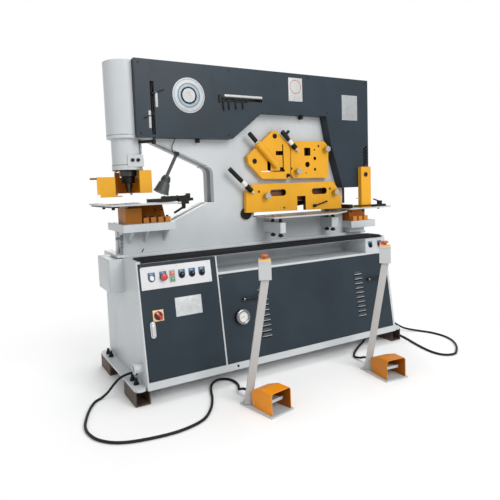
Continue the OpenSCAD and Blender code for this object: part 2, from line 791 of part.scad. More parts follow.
// Yellow plate of the bar shear, with its round and square holes
module bar_holddown() {
  on_frame() {
    color(signal_yellow) difference() {
      union() {
        slab(guard_y, guard_y + guard_t) difference() {
          polygon([[264, 1200], [286, 1170], [585, 1168], [588, 1385], [556, 1419], [268, 1417]]);
          translate([378, 1322]) square([52, 54]);
          translate([465, 1362]) circle(r = 6);
          translate([467, 1303]) circle(r = 12);
          translate([403, 1262]) circle(r = 19);
          translate([391, 1205]) circle(r = 4.5);
          translate([458, 1219]) square([18, 18]);
          translate([254 + 14, 1236]) circle(r = 6);
          translate([501, 1388]) circle(r = 6);
          translate([305, 1215]) circle(r = 6 + run);
          translate([555, 1366]) circle(r = 6 + run);
        }
        guard_feet([[300, 1390], [560, 1200]]);
        translate([bar_clamp[0], clamp_y, bar_clamp[1]]) rotate([0, 134, 0])
          cylinder(r = 17, h = tube_len);
      }
      translate([bar_clamp[0], clamp_y, bar_clamp[1]]) rotate([0, 134, 0]) translate([0, 0, -eps])
        cylinder(r = 8 + run, h = 90);
    }
  }
}

// Long yellow plate of the flat shear, with two slots and a window
module flat_holddown() {
  on_frame() {
    color(signal_yellow) difference() {
      union() {
        slab(guard_y, guard_y + guard_t) difference() {
          polygon([[-95, 958], [-90, 1090], [-46, 1138], [627, 1140], [689, 1060], [700, 945]]);
          for (c = [[92, 1078, 219], [435, 1077, 567]]) {
            translate([c[0] + 22, c[1]]) circle(r = 22);
            translate([c[2] - 22, c[1]]) circle(r = 22);
            translate([c[0] + 22, c[1] - 22]) square([c[2] - c[0] - 44, 44]);
          }
          translate([309, 940]) square([71, 108]);
          translate([52, 1061]) circle(r = 6 + run);
          translate([627, 1063]) circle(r = 6 + run);
          translate([6, 1090]) circle(r = 6);
          translate([594, 1090]) circle(r = 6);
          translate([451, 977]) circle(r = 5 + run);
        }
        guard_feet([[-20, 1100], [280, 1110], [640, 1100]]);
        translate([flat_clamp[0], clamp_y, flat_clamp[1]]) rotate([0, 133, 0])
          cylinder(r = 17, h = tube_len + 14);
      }
      translate([flat_clamp[0], clamp_y, flat_clamp[1]]) rotate([0, 133, 0]) translate([0, 0, -eps])
        cylinder(r = 8 + run, h = 110);
    }
  }
}

// White shear table on two brackets, with its levelling bolts
module shear_table() {
  on_frame() {
    color(white) {
      slab_z(bench_z - 10, bench_z) polygon([[3, plate_front - 4], [3, -250], [500, -256],
                                             [700, -130], [700, plate_front - 4]]);
      span([60, -230, 822], [100, plate_front, 890]);
      span([540, -150, 822], [600, plate_front, 893]);
    }
    color(black) for (p = [[80, -200, 890], [80, -110, 890], [570, -125, 893], [570, -60, 893]]) {
      translate([p[0], p[1], p[2]]) cylinder(r = 8, h = bench_z - 10 - p[2]);
      translate([p[0], p[1], p[2]]) cylinder(r = 13, h = 12, $fn = 6);
      translate([p[0], p[1], 822 - 12]) cylinder(r = 12, h = 12, $fn = 6);
    }
  }
}

module slab_z(z0, z1) {
  translate([0, 0, z0]) linear_extrude(z1 - z0) children();
}

// Fixed blades, bolted into the windows of the front plate
module lower_blades() {
  on_frame() {
    y0 = plate_front + 10;
    y1 = plate_front + plate_t - 1;
    color(steel) {
      slab(y0, y1) difference() {
        window(angle_win);
        translate([190, 1215]) square([14, 170]);
        translate([40, 1215]) square([164, 14]);
      }
      slab(y0, y1) difference() {
        window(bar_win);
        translate([380, 1324]) square([48, 50]);
        translate([465, 1362]) circle(r = 5);
        translate([467, 1303]) circle(r = 11);
        translate([403, 1262]) circle(r = 18);
        translate([391, 1205]) circle(r = 4);
        translate([459, 1220]) square([16, 16]);
      }
      span([flat_win[0], y0, flat_win[1]], [flat_win[2], y1, bench_z]);
    }
  }
}

// Notching table and its tray on the frame's lower arm
module notch_table() {
  on_frame() {
    color(white) difference() {
      span([705, -160, notch_table_z - 10], [1100, 200, notch_table_z]);
      span([notch_ram_x - 34, frame_y - 50, notch_table_z - 12],
           [notch_ram_x + 48, frame_y + 50, notch_table_z + eps]);
      span([700, plate_front - seat, notch_table_z - 12],
           [notch_x0 + seat, plate_back + seat, notch_table_z + eps]);
    }
    color(light_grey) span([737, plate_front - 105, 800], [967, plate_front, 850]);
    color(light_grey) span([760, plate_front - 60, deck_z + 4], [900, plate_front, 800]);
    color(black) translate([1070, -60, notch_table_z - 24]) cylinder(r = 9, h = 14, $fn = 6);
  }
}

// Yellow notching die, clamp blocks and the guard post
module notch_die() {
  on_frame() {
    ram_half = notch_half + 3;
    color(signal_yellow) difference() {
      span([756, plate_front - 62, notch_sill], [906, plate_back + 40, notch_table_z - 10]);
      span([notch_ram_x - ram_half, gap_front + 4, notch_sill - eps],
           [notch_ram_x + ram_half, gap_front + plate_gap - 4, notch_table_z]);
    }
    color("#e8801c") for (k = [0:2])
      span([760 + 52 * k, plate_front - 100, 850], [796 + 52 * k, plate_front - 62, 884]);
    color(signal_yellow) {
      span([830, -138, notch_table_z], [922, -104, 1238]);
      span([845, -104, notch_table_z], [905, -40, notch_table_z + 14]);
    }
    color(black) front_screw(871, 1183, -138, 10);
  }
}

// ---------------------------------------------------------------- moving pieces

// Ram, coupling nut and punch, with the arm and rod that carry the scale stops
module punch_ram() {
  on_frame() {
    color(steel) {
      translate([punch_x, frame_y, nut_z + 40]) cylinder(r = ram_r, h = 430);
      translate([punch_x, frame_y, punch_tip]) cylinder(r = 15, h = 60);
      translate([punch_x, frame_y, punch_tip + 26]) cylinder(r = 22, h = 30);
    }
    color(black) translate([punch_x, frame_y, nut_z]) cylinder(r = 38, h = 44);
    color(light_grey) {
      translate([punch_x, frame_y, arm_z]) rotate([0, 0, arm_turn])
        span([20, -8, 0], [arm_reach, 8, 16]);
      translate([rod_x, rod_y, arm_z - 8]) cylinder(r = 11, h = 26);
    }
    color(steel) translate([rod_x, rod_y, arm_z - 8]) cylinder(r = 5, h = 350);
  }
}

// A stop collar on the scale rod with its pointer in front of the cover
module scale_stop(z, reach, tilt) {
  color(black) difference() {
    union() {
      translate([rod_x, rod_y, z - 10]) cylinder(r = 9, h = 20);
      translate([rod_x - 4, cover_y - 12, z - 4]) cube([8, rod_y - cover_y + 8, 8]);
      translate([rod_x, cover_y - 10, z]) rotate([0, tilt, 0]) translate([0, 0, -2])
        cylinder(r = 2.5, h = reach);
    }
    translate([rod_x, rod_y, z - 10 - eps]) cylinder(r = 5 + run, h = 20 + 2 * eps);
  }
}

module stop_upper() {
  on_frame() {
    scale_stop(1668, 76, 70);
  }
}

module stop_lower() {
  on_frame() {
    scale_stop(1552, 62, -110);
  }
}

// Rocking beam with the moving blades for angle, bar and flat
module shear_beam() {
  on_frame() {
    y0 = frame_y - beam_t / 2;
    color(light_grey) slab(y0, y0 + beam_t) difference() {
      union() {
        translate([pivot_x, pivot_z]) circle(r = 92);
        polygon([[-150, 1000], [-90, 1420], [60, 1480], [620, 1480], [700, piston_top],
                 [905, piston_top], [905, beam_low], [715, beam_low], [690, 1060], [660, 1056],
                 [-10, 1010], [-60, 1000]]);
      }
      translate([pivot_x, pivot_z]) circle(r = pivot_d / 2 + run);
      translate([angle_win[0] + 8, angle_win[1] + 4]) square([186, 186]);
      translate([bar_win[0], bar_win[1]]) square([116, 193]);
    }
    color(steel) slab(y0 + 1, y0 + beam_t - 1) {
      difference() {
        translate([angle_win[0] + 8, angle_win[1] + 4]) square([186, 186]);
        translate([184, 1210]) square([22, 182]);
        translate([36, 1210]) square([170, 24]);
      }
      difference() {
        translate([bar_win[0], bar_win[1]]) square([116, 193]);
        translate([376, 1320]) square([56, 58]);
        translate([465, 1362]) circle(r = 8);
        translate([467, 1303]) circle(r = 14);
        translate([403, 1262]) circle(r = 22);
        translate([391, 1205]) circle(r = 7);
        translate([456, 1217]) square([22, 22]);
      }
      polygon([[0, 948], [0, 1012], [660, 1056], [660, 1000]]);
    }
  }
}

// Shear cylinder's rod, whose roller bears on the beam
module shear_piston() {
  on_frame() {
    color(steel) {
      translate([piston_x, frame_y, piston_top + roller_r + 20]) cylinder(r = 24, h = 240);
      along_y(piston_x, piston_top + roller_r + 0.5, roller_r, frame_y - 22, frame_y + 22);
      span([piston_x - 20, frame_y - 24, piston_top + roller_r], [piston_x + 20, frame_y + 24,
           piston_top + roller_r + 40]);
    }
  }
}

module notch_ram() {
  on_frame() {
    top = beam_low - 0.5;
    color("#7a4a28") {
      span([notch_ram_x - notch_half, frame_y - 22, 976],
           [notch_ram_x + notch_half, frame_y + 22, top - 36]);
      along_y(notch_ram_x, top - 18, 18, frame_y - 22, frame_y + 22);
      span([notch_ram_x - 14, frame_y - 22, top - 37], [notch_ram_x + 14, frame_y + 22, top - 18]);
    }
  }
}

// Yellow stripper: two arms and a back round the punch, on two guide rods
module stripper() {
  on_frame() {
    y0 = -62;
    y1 = guide_y - 12;
    inner = punch_x + ram_r + 7;   // its inner cheek, clear of the ram
    color(signal_yellow) difference() {
      union() {
        span([-1022, y0, 1110], [-922, y0 + 5, 1206]);
        span([-1006, y0, 1094], [-922, y0 + 5, 1111]);
        span([-927, y0, 1094], [-922, y1, 1206]);
        span([inner, y0, 1111], [inner + 5, y1, 1241]);
        span([-782, y0, 1111], [-710, y0 + 5, 1241]);
        span([-927, y1 - 5, 1111], [inner + 5, y1, 1206]);
        span([-925, frame_y - 40, 1094], [-866, y1, 1099]);
        span([inner + 4, frame_y - 40, 1111], [inner + 18, y1, 1116]);
        // sleeves on the guide pins
        for (s = [-1, 1]) translate([punch_x + s * guide_x, guide_y, 1130]) cylinder(r = 15, h = 76);
      }
      for (s = [-1, 1]) translate([punch_x + s * guide_x, guide_y, 1130 - eps])
        cylinder(r = 8 + run, h = 76 + 2 * eps);
    }
    color(steel) along_x(y0 + 12, 1198, 5, -1056, -927);
    color(signal_yellow) span([-870, y1 - 5, 1200], [-840, y1, 1236]);
  }
}

// A star knob on its screw
module star_knob(x, z) {
  color(steel) {
    along_y(x, z, 6, guard_y - 14, guard_y + guard_t + 8);
    along_y(x, z, 13, guard_y - 20, guard_y - 4);
    difference() {
      along_y(x, z, 21, guard_y - 42, guard_y - 16);
      for (k = [0:5]) along_y(x + 25 * cos(60 * k), z + 25 * sin(60 * k), 8,
                              guard_y - 43, guard_y - 15);
    }
  }
}

module knob_bar_left() {
  on_frame() {
    star_knob(305, 1215);
  }
}

module knob_bar_right() {
  on_frame() {
    star_knob(555, 1366);
  }
}

module knob_flat_left() {
  on_frame() {
    star_knob(52, 1061);
  }
}

module knob_flat_right() {
  on_frame() {
    star_knob(627, 1063);
  }
}

// Clamp screw: grip, collar and rod along one axis, a little short of its tube
module clamp_screw(x, z, turn, rod_r, grip_l, rod_l, collar_l) {
  translate([x, clamp_y, z]) rotate([0, turn, 0]) translate([0, 0, -screw_lead]) {
    color(steel) cylinder(r = rod_r, h = rod_l);
    color(black) translate([0, 0, -grip_l - collar_l]) cylinder(r = 14, h = grip_l);
    color(white) translate([0, 0, -collar_l]) cylinder(r = 15, h = collar_l);
  }
}

module angle_screw() {
  on_frame() {
    clamp_screw(angle_clamp[0], angle_clamp[1], 136, 9, 74, 222, 6);
  }
}

module bar_screw() {
  on_frame() {
    clamp_screw(bar_clamp[0], bar_clamp[1], 134, 8, 72, 72, 36);
    color(black) translate([bar_clamp[0] - 58, clamp_y, bar_clamp[1] + 56]) rotate([0, 44, 0])
      cylinder(r = 10, h = 44);
  }
}

module flat_screw() {
  on_frame() {
    clamp_screw(flat_clamp[0], flat_clamp[1], 133, 8, 118, 74, 40);
  }
}

// Ruler bar on the punch table with its end block
module table_stop() {
  on_frame() {
    y0 = -75;
    color(steel) span([-744, y0, table_z + seat], [-480, y0 + 26, table_z + 20]);
    color(black) {
      span([-657, y0 + 2, table_z + 20], [-494, y0 + 24, table_z + 32]);
      span([-560, y0 - 14, table_z + seat], [-468, y0 + 50, table_z + 17]);
      span([-547, y0 - 10, table_z - 18], [-494, y0 + 46, table_z + seat]);
      span([-500, y0, table_z + 17], [-480, y0 + 26, table_z + 44]);
    }
  }
}

// Clamp lever below the stop's end block
module stop_lever() {
  on_frame() {
    x = -520;
    y = -62;
    color(black) {
      translate([x, y, table_z - 36]) cylinder(r = 12, h = 17.7);
      translate([x, y, table_z - 36]) rotate([0, -118, 0]) cylinder(r = 7, h = 70);
      translate([x, y, table_z - 36]) sphere(r = 12);
    }
  }
}

// Cross clamp and stop bar on the notching table
module notch_stop() {
  on_frame() {
    color(black) {
      span([700, -148, notch_table_z + seat], [735, plate_front - 3, notch_table_z + 26]);
      span([930, -150, notch_table_z + seat], [1060, -118, notch_table_z + 16]);
      span([700, -150, notch_table_z + 10], [1060, -139, notch_table_z + 16]);
      translate([1010, -134, notch_table_z + 16]) cylinder(r = 19, h = 26);
      translate([1010, -134, notch_table_z + 36]) rotate([0, -72, 0]) cylinder(r = 5, h = 62);
    }
  }
}

module shear_lever() {
  on_frame() {
    color(black) {
      along_y(451, 977, 5, guard_y - 12, guard_y + guard_t);
      along_y(451, 977, 11, guard_y - 18, guard_y - 2);
      translate([451, guard_y - 14, 977]) rotate([0, 76, 0]) cylinder(r = 4.5, h = 104);
      translate([552, guard_y - 14, 1002]) sphere(r = 7);
    }
  }
}

// Lamp under the throat's upper edge: foot on a pin, arm and shade
module lamp() {
  on_frame() {
    p = lamp_pivot;
    color(black) {
      difference() {
        along_y(p[0], p[2], 11, p[1] - 12, p[1] + 12);
        along_y(p[0], p[2], 4 + run, p[1] - 13, p[1] + 13);
      }
      translate(p) rotate([0, 208, 0]) translate([0, 0, 9]) cylinder(r = 10, h = 151);
    }
    color("#4a4d50") translate([p[0] - 66, p[1], p[2] - 128]) rotate([0, 204, 0])
      rotate_extrude() polygon([[0, 0], [20, 0], [24, 8], [28, 40], [33, 44], [44, 96], [46, 106],
                                [42, 106], [38, 92], [26, 46], [0, 40]]);
  }
}

// ---------------------------------------------------------------- front panels

// A round bezel standing on a panel, with a hole for the stem
module bezel(h) {
  difference() {
    cylinder(r = 15, h = h);
    translate([0, 0, -eps]) cylinder(r = button_d / 2 + 1, h = h + 2 * eps);
  }
}

panel_t = 2;
control_z = 655;
dials = [-822, -757, -705, -649, -588, -528];

module electrics_door() {
  low = panel_low;
  high = top_z - 14;
  door_h = (high - low) / cos(lean);
  door_rise = 1;               // the tilted hinge lets the door's corner dip as it opens
  color(anthracite) difference() {
    union() {
      on_front(door_x0, low) translate([0, door_rise, -3])
        cube([door_x1 - door_x0, door_h - door_rise, 3]);
      for (z = [low + 1.5, high - 26]) on_front(hinge_x, z) {
        translate([0, 0, -hinge_depth]) rotate([-90, 0, 0]) cylinder(r = 4.6, h = 22);
        translate([-4.6, 0, -hinge_depth]) cube([9.2, 22, 4]);
      }
    }
    for (z = [low - 1, high - 40]) on_front(hinge_x, z) translate([0, 0, -hinge_depth])
      rotate([-90, 0, 0]) cylinder(r = 2.5 + run, h = 60);
    for (x = [dials[0], dials[1], dials[3], dials[4], dials[5]])
      on_front(x, control_z) cylinder(r = 5 + run, h = 30, center = true);
    for (d = [-15, 15]) on_front(dials[2], control_z + d)
      cylinder(r = 5 + run, h = 30, center = true);
    on_front(-806, 457) cylinder(r = 5 + run, h = 30, center = true);
    on_front(-842, 420) cylinder(r = 5 + run, h = 30, center = true);
  }
  // white control plate with bezels
  color(white) difference() {
    on_front(-881, 597) cube([411, 121 / cos(lean), panel_t]);
    for (x = [dials[0], dials[1], dials[3], dials[4], dials[5]])
      on_front(x, control_z) cylinder(r = 5 + run, h = 30, center = true);
    for (d = [-15, 15]) on_front(dials[2], control_z + d)
      cylinder(r = 5 + run, h = 30, center = true);
  }
  color(black) for (x = [dials[0], dials[1], dials[3], dials[4], dials[5]])
    on_front(x, control_z) translate([0, 0, panel_t]) bezel(6);
  color(black) on_front(dials[2], control_z) translate([0, 0, panel_t]) difference() {
    translate([-15, -32, 0]) cube([30, 64, 6]);
    for (d = [-15, 15]) translate([-11.5, d - 11.5, -eps]) cube([23, 23, 8]);
  }
  // square plate of the main switch, data plate and lock body
  color(signal_yellow) on_front(-806, 457) difference() {
    translate([-30, -30, 0]) cube([60, 60, 3]);
    cylinder(r = 5 + run, h = 30, center = true);
  }
  color(white) on_front(-704, 434) cube([156, 103, 1.5]);
  color(steel) on_front(-842, 336) difference() {
    translate([-13, 0, 0]) cube([26, 102, 3]);
    translate([0, 84 / cos(lean), 0]) cylinder(r = 5 + run, h = 30, center = true);
  }
}

// A push-button: cap on a stem through the panel
module push_button(x, z, base, c) {
  on_front(x, z) {
    color(c) translate([0, 0, base + 5]) cylinder(r = button_d / 2, h = 8);
    color(black) translate([0, 0, -18]) cylinder(r = 5, h = base + 24);
  }
}

module square_button(x, z, base, c) {
  on_front(x, z) {
    color(c) translate([-10.5, -10.5, base + 5]) cube([21, 21, 6]);
    color(black) translate([0, 0, -18]) cylinder(r = 5, h = base + 24);
  }
}

// An emergency stop: mushroom, neck and stem
module mushroom(base) {
  color("#c8281e") {
    translate([0, 0, base + 14]) cylinder(r = mushroom_d / 2, h = 8);
    translate([0, 0, base + 22]) cylinder(r1 = mushroom_d / 2, r2 = mushroom_d / 2 - 5, h = 5);
    translate([0, 0, base + 6]) cylinder(r = 10, h = 9);
  }
  color(black) translate([0, 0, -18]) cylinder(r = 5, h = base + 25);
}

module white_button() {
  push_button(dials[0], control_z, panel_t, "white");
}

module panel_estop() {
  on_front(dials[1], control_z) mushroom(panel_t + 1);
}

module stop_button() {
  square_button(dials[2], control_z + 15, panel_t, "red");
}

module start_button() {
  square_button(dials[2], control_z - 15, panel_t, "green");
}

// A selector: round skirt with a grip across it
module selector(x, z, base) {
  on_front(x, z) {
    color(black) {
      translate([0, 0, base + 1]) cylinder(r = 10.5, h = 8);
      translate([-3.5, -10, base + 8]) cube([7, 20, 9]);
      translate([0, 0, -18]) cylinder(r = 5, h = base + 20);
    }
  }
}

module selector_left() {
  selector(dials[3], control_z, panel_t);
}

module selector_middle() {
  selector(dials[4], control_z, panel_t);
}

module selector_right() {
  selector(dials[5], control_z, panel_t);
}

module main_switch() {
  on_front(-806, 457) {
    color("#c8281e") {
      translate([0, 0, 3.4]) cylinder(r = 22, h = 8);
      translate([-8, -24, 11]) cube([16, 48, 14]);
    }
    color(black) translate([0, 0, -18]) cylinder(r = 5, h = 24);
  }
}

module door_lock() {
  on_front(-842, 420) {
    color(steel) {
      translate([-9, -72, 3.4]) cube([18, 72, 7]);
      translate([0, 0, 3.4]) cylinder(r = 9, h = 7);
      translate([0, -72, 3.4]) cylinder(r = 9, h = 7);
    }
    color(black) translate([0, 0, -14]) cylinder(r = 5, h = 20);
    color(steel) translate([-5, -32, -18]) cube([10, 38, 4]);
  }
}

// Lift-off cover with two columns of louvres and two bow handles
module louvred_cover() {
  low = panel_low - 1 + seat;
  high = bar_low - 2;
  x0 = divider_x + 6;
  x1 = cab_x - 19;
  color(anthracite) difference() {
    on_front(x0, low) translate([0, 0, -3]) cube([x1 - x0, (high - low) / cos(lean), 3]);
    for (k = [0:9], c = [-178, 583])
      on_front(c, 232 + 30.5 * k) translate([0, 0, -4]) cube([61, 7, 6]);
    on_front(-306, 371) cylinder(r = gauge_d / 2 + 2, h = 20, center = true);
  }
  for (x = [-285, 690]) {
    color(black) on_front(x, x < 0 ? 470 : 464) {
      translate([0, 0, 26]) rotate([0, 90, 0]) cylinder(r = 8, h = 124);
      for (d = [0, 112]) translate([d, -6, 0]) cube([12, 12, 26]);
    }
  }
}

module box_selector() {
  selector(760, 690, 0);
}

module box_estop() {
  on_front(845, 690) mushroom(1);
}

// ---------------------------------------------------------------- pedals

module at_station(s) {
  translate([s[0], s[1], 0]) rotate([0, 0, s[2]]) children();
}

// Room inside or outside the hood: side view, plan and front view crossed
module hood_body(inset, front) {
  w0 = hood_w / 2 - 8 - inset;
  w1 = hood_w / 2 - 18 - inset;
  top = hood_h - inset;
  round_r = 16 - inset / 2;
  intersection() {
    translate([-200, 0, 0]) rotate([90, 0, 90]) linear_extrude(400)
      polygon([[front, 7], [42 - inset, 7], [42 - inset, top - 28], [-40, top], [front, top]]);
    linear_extrude(300) polygon([[-w0, front], [w0, front], [w1, 43], [-w1, 43]]);
    translate([0, 100, 0]) rotate([90, 0, 0]) linear_extrude(300) {
      translate([-100, 0]) square([200, top - round_r]);
      translate([-w0 + round_r, 0]) square([2 * (w0 - round_r), top]);
      for (s = [-1, 1]) translate([s * (w0 - round_r), top - round_r]) circle(r = round_r);
    }
  }
}

// Base plate, hood, switch housing, post and the stop's box
module pedal_station() {
  base_t = 8;
  wall = 4;
  housing_y = 86;
  color(light_grey) span([-78, -123, 0], [78, 118, base_t]);
  color("#f0962a") difference() {
    hood_body(0, -113);
    hood_body(wall, -114);
    span([-27, 30, 0], [34, 44, 62]);
  }
  // grey switch housing between the hood's back and the post
  color("#9a9ea0") {
    difference() {
      span([-26, 37, base_t], [33, housing_y - 20, 60]);
      along_x(pedal_axis_y, pedal_axis_z, 13, -40, 40);
      span([-40, 30, base_t - eps], [40, 52, 70]);
    }
    span([relief_x - 16, housing_y - 20, base_t], [33, housing_y, 58]);
  }
  // pin of the pedal in its two ears
  color(steel) {
    along_x(pedal_axis_y - 20, pedal_axis_z, 5, -50, 50);
    for (s = [-1, 1]) span([s * 47 - 3, pedal_axis_y - 32, base_t],
                           [s * 47 + 3, pedal_axis_y - 8, pedal_axis_z + 12]);
  }
  // leaning post on its foot
  color("#c4bfb9") difference() {
    translate([post_x, post_y, 0]) rotate([0, 0, post_turn]) rotate([0, post_lean, 0])
      span([-post_w / 2, -post_w / 2, -20], [post_w / 2, post_w / 2, 720]);
    span([-200, 0, -60], [100, 200, base_t]);
    span([-100, -200, box_z0], [400, 300, 900]);
  }
  // box with the emergency stop
  translate(post_top()) rotate([0, 0, post_turn]) {
    color(light_grey) difference() {
      span([-box_w / 2, -box_w / 2, 0], [box_w / 2, box_w / 2, box_h]);
      translate([0, 0, box_h - 30]) cylinder(r = 5 + run, h = 40);
    }
    color(signal_yellow) difference() {
      span([-box_w / 2 + 1, -box_w / 2 + 1, box_h], [box_w / 2 - 1, box_w / 2 - 1, box_h + 6]);
      translate([0, 0, box_h - 30]) cylinder(r = 5 + run, h = 60);
    }
  }
  // gland and strain relief of the cable
  color(black) {
    translate([relief_x, housing_y, relief_z]) rotate([-90, 0, 0]) {
      cylinder(r = cable_d / 2 + 6, h = 16);
      cylinder(r1 = cable_d / 2 + 5, r2 = cable_d / 2 + 2, h = relief_end - housing_y);
    }
  }
}

module pedal_station_left() {
  at_station(station_left) pedal_station();
}

module pedal_station_right() {
  at_station(station_right) pedal_station();
}

// The treadle: plate with a turned-up lip, on a sleeve round the pin
module pedal() {
  axis_y = pedal_axis_y - 20;
  color(steel) difference() {
    union() {
      along_x(axis_y, pedal_axis_z, 10, -43, 43);
      translate([0, axis_y, pedal_axis_z]) rotate([-5, 0, 0]) {
        span([-42, -100, 4], [42, 4, 9]);
        span([-42, -100, 4], [42, -95, 20]);
      }
    }
    along_x(axis_y, pedal_axis_z, 5 + run, -52, 52);
  }
}

module pedal_left() {
  at_station(station_left) pedal();
}

module pedal_right() {
  at_station(station_right) pedal();
}

module post_estop(s) {
  at_station(s) translate(post_top() + [0, 0, box_h]) mushroom(6);
}

module post_estop_left() {
  post_estop(station_left);
}

module post_estop_right() {
  post_estop(station_right);
}

module cord_left() {
  color(black) tube_along(left_route, cable_d / 2, 8);
}

module cord_right() {
  color(black) tube_along(right_route, cable_d / 2, 8);
}

frame_front_plate();
frame_rear_plate();
frame_base();
nose_housing();
punch_cylinder();
head_cover();
rear_cover();
cabinet();
cabinet_feet();
power_unit();
junction_box();
punch_table();
die_bolster();
angle_holddown();
bar_holddown();
flat_holddown();
shear_table();
lower_blades();
notch_table();
notch_die();
pedal_station_left();
pedal_station_right();
cord_left();
cord_right();
punch_ram();
stop_upper();
stop_lower();
shear_beam();
shear_piston();
notch_ram();
stripper();
angle_screw();
bar_screw();
flat_screw();
knob_bar_left();
knob_bar_right();
knob_flat_left();
knob_flat_right();
table_stop();
stop_lever();
notch_stop();
shear_lever();
lamp();
electrics_door();
main_switch();
door_lock();
louvred_cover();
white_button();
panel_estop();
start_button();
stop_button();
selector_left();
selector_middle();
selector_right();
box_selector();
box_estop();
pedal_left();
pedal_right();
post_estop_left();
post_estop_right();
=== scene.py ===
"""Hydraulic ironworker: finishes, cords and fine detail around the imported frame.

Sizes are millimetres in the machine's frame: X to the right along the cabinet, front towards
-Y, Z up from the floor. They become metres when a piece is closed.
"""

from __future__ import annotations

import logging
import math
from dataclasses import dataclass
from enum import Enum
from typing import Any, Callable, Iterable, Sequence, Union

import bmesh
import bpy
from mathutils import Matrix, Vector


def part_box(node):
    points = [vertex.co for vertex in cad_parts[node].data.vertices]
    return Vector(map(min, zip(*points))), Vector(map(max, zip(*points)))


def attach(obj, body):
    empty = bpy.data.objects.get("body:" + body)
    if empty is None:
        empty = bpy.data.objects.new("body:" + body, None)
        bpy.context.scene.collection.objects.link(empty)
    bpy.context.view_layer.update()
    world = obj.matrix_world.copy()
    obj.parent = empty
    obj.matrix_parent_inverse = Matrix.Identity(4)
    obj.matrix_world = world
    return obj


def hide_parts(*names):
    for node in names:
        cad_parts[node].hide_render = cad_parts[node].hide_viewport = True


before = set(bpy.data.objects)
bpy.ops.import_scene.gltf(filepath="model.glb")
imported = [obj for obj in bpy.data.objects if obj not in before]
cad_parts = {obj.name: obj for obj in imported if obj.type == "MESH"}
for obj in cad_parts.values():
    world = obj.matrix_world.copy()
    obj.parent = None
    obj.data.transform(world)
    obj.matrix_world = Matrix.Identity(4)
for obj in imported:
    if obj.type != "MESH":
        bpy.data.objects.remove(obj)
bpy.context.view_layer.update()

LOG = logging.getLogger("ironworker")
MM = 0.001
TINY = 1e-6
Pair = tuple[float, float]
Triple = tuple[float, float, float]
Region = Callable[[Vector, Vector], bool]
Places = Union[Matrix, Iterable[Matrix]]

# The cabinet's leaning front: a point of its foot, and its run from there to its upper edge.
SLOPE_FOOT = Vector((0, -390, 80))
SLOPE_RUN = Vector((0, 105, 668))


# ------------ shader expressions


class Value:
    """A shader socket that takes part in Python expressions."""

    def __init__(self, recipe: Recipe, socket: bpy.types.NodeSocket) -> None:
        """Holds the socket and the recipe that it is in."""
        self.recipe, self.socket = recipe, socket

    def _math(self, operation: str, first: Any, second: Any) -> Value:
        """One Math node on two values or numbers."""
        return self.recipe.node("Math", {"operation": operation}, i0=first, i1=second)

    def __add__(self, other: Any) -> Value:
        """Sum."""
        return self._math("ADD", self, other)

    def __mul__(self, other: Any) -> Value:
        """Product."""
        return self._math("MULTIPLY", self, other)

    def __sub__(self, other: Any) -> Value:
        """Difference."""
        return self._math("SUBTRACT", self, other)

    def __rsub__(self, other: Any) -> Value:
        """Difference from a number."""
        return self._math("SUBTRACT", other, self)

    __radd__, __rmul__ = __add__, __mul__

    def peak(self, other: Any) -> Value:
        """The greater of the two."""
        return self._math("MAXIMUM", self, other)

    def ramp(self, start: float, end: float) -> Value:
        """A smooth step from 0 at the start to 1 at the end."""
        settings = {"interpolation_type": "SMOOTHSTEP"}
        return self.recipe.node("MapRange", settings, i0=self, i1=start, i2=end)


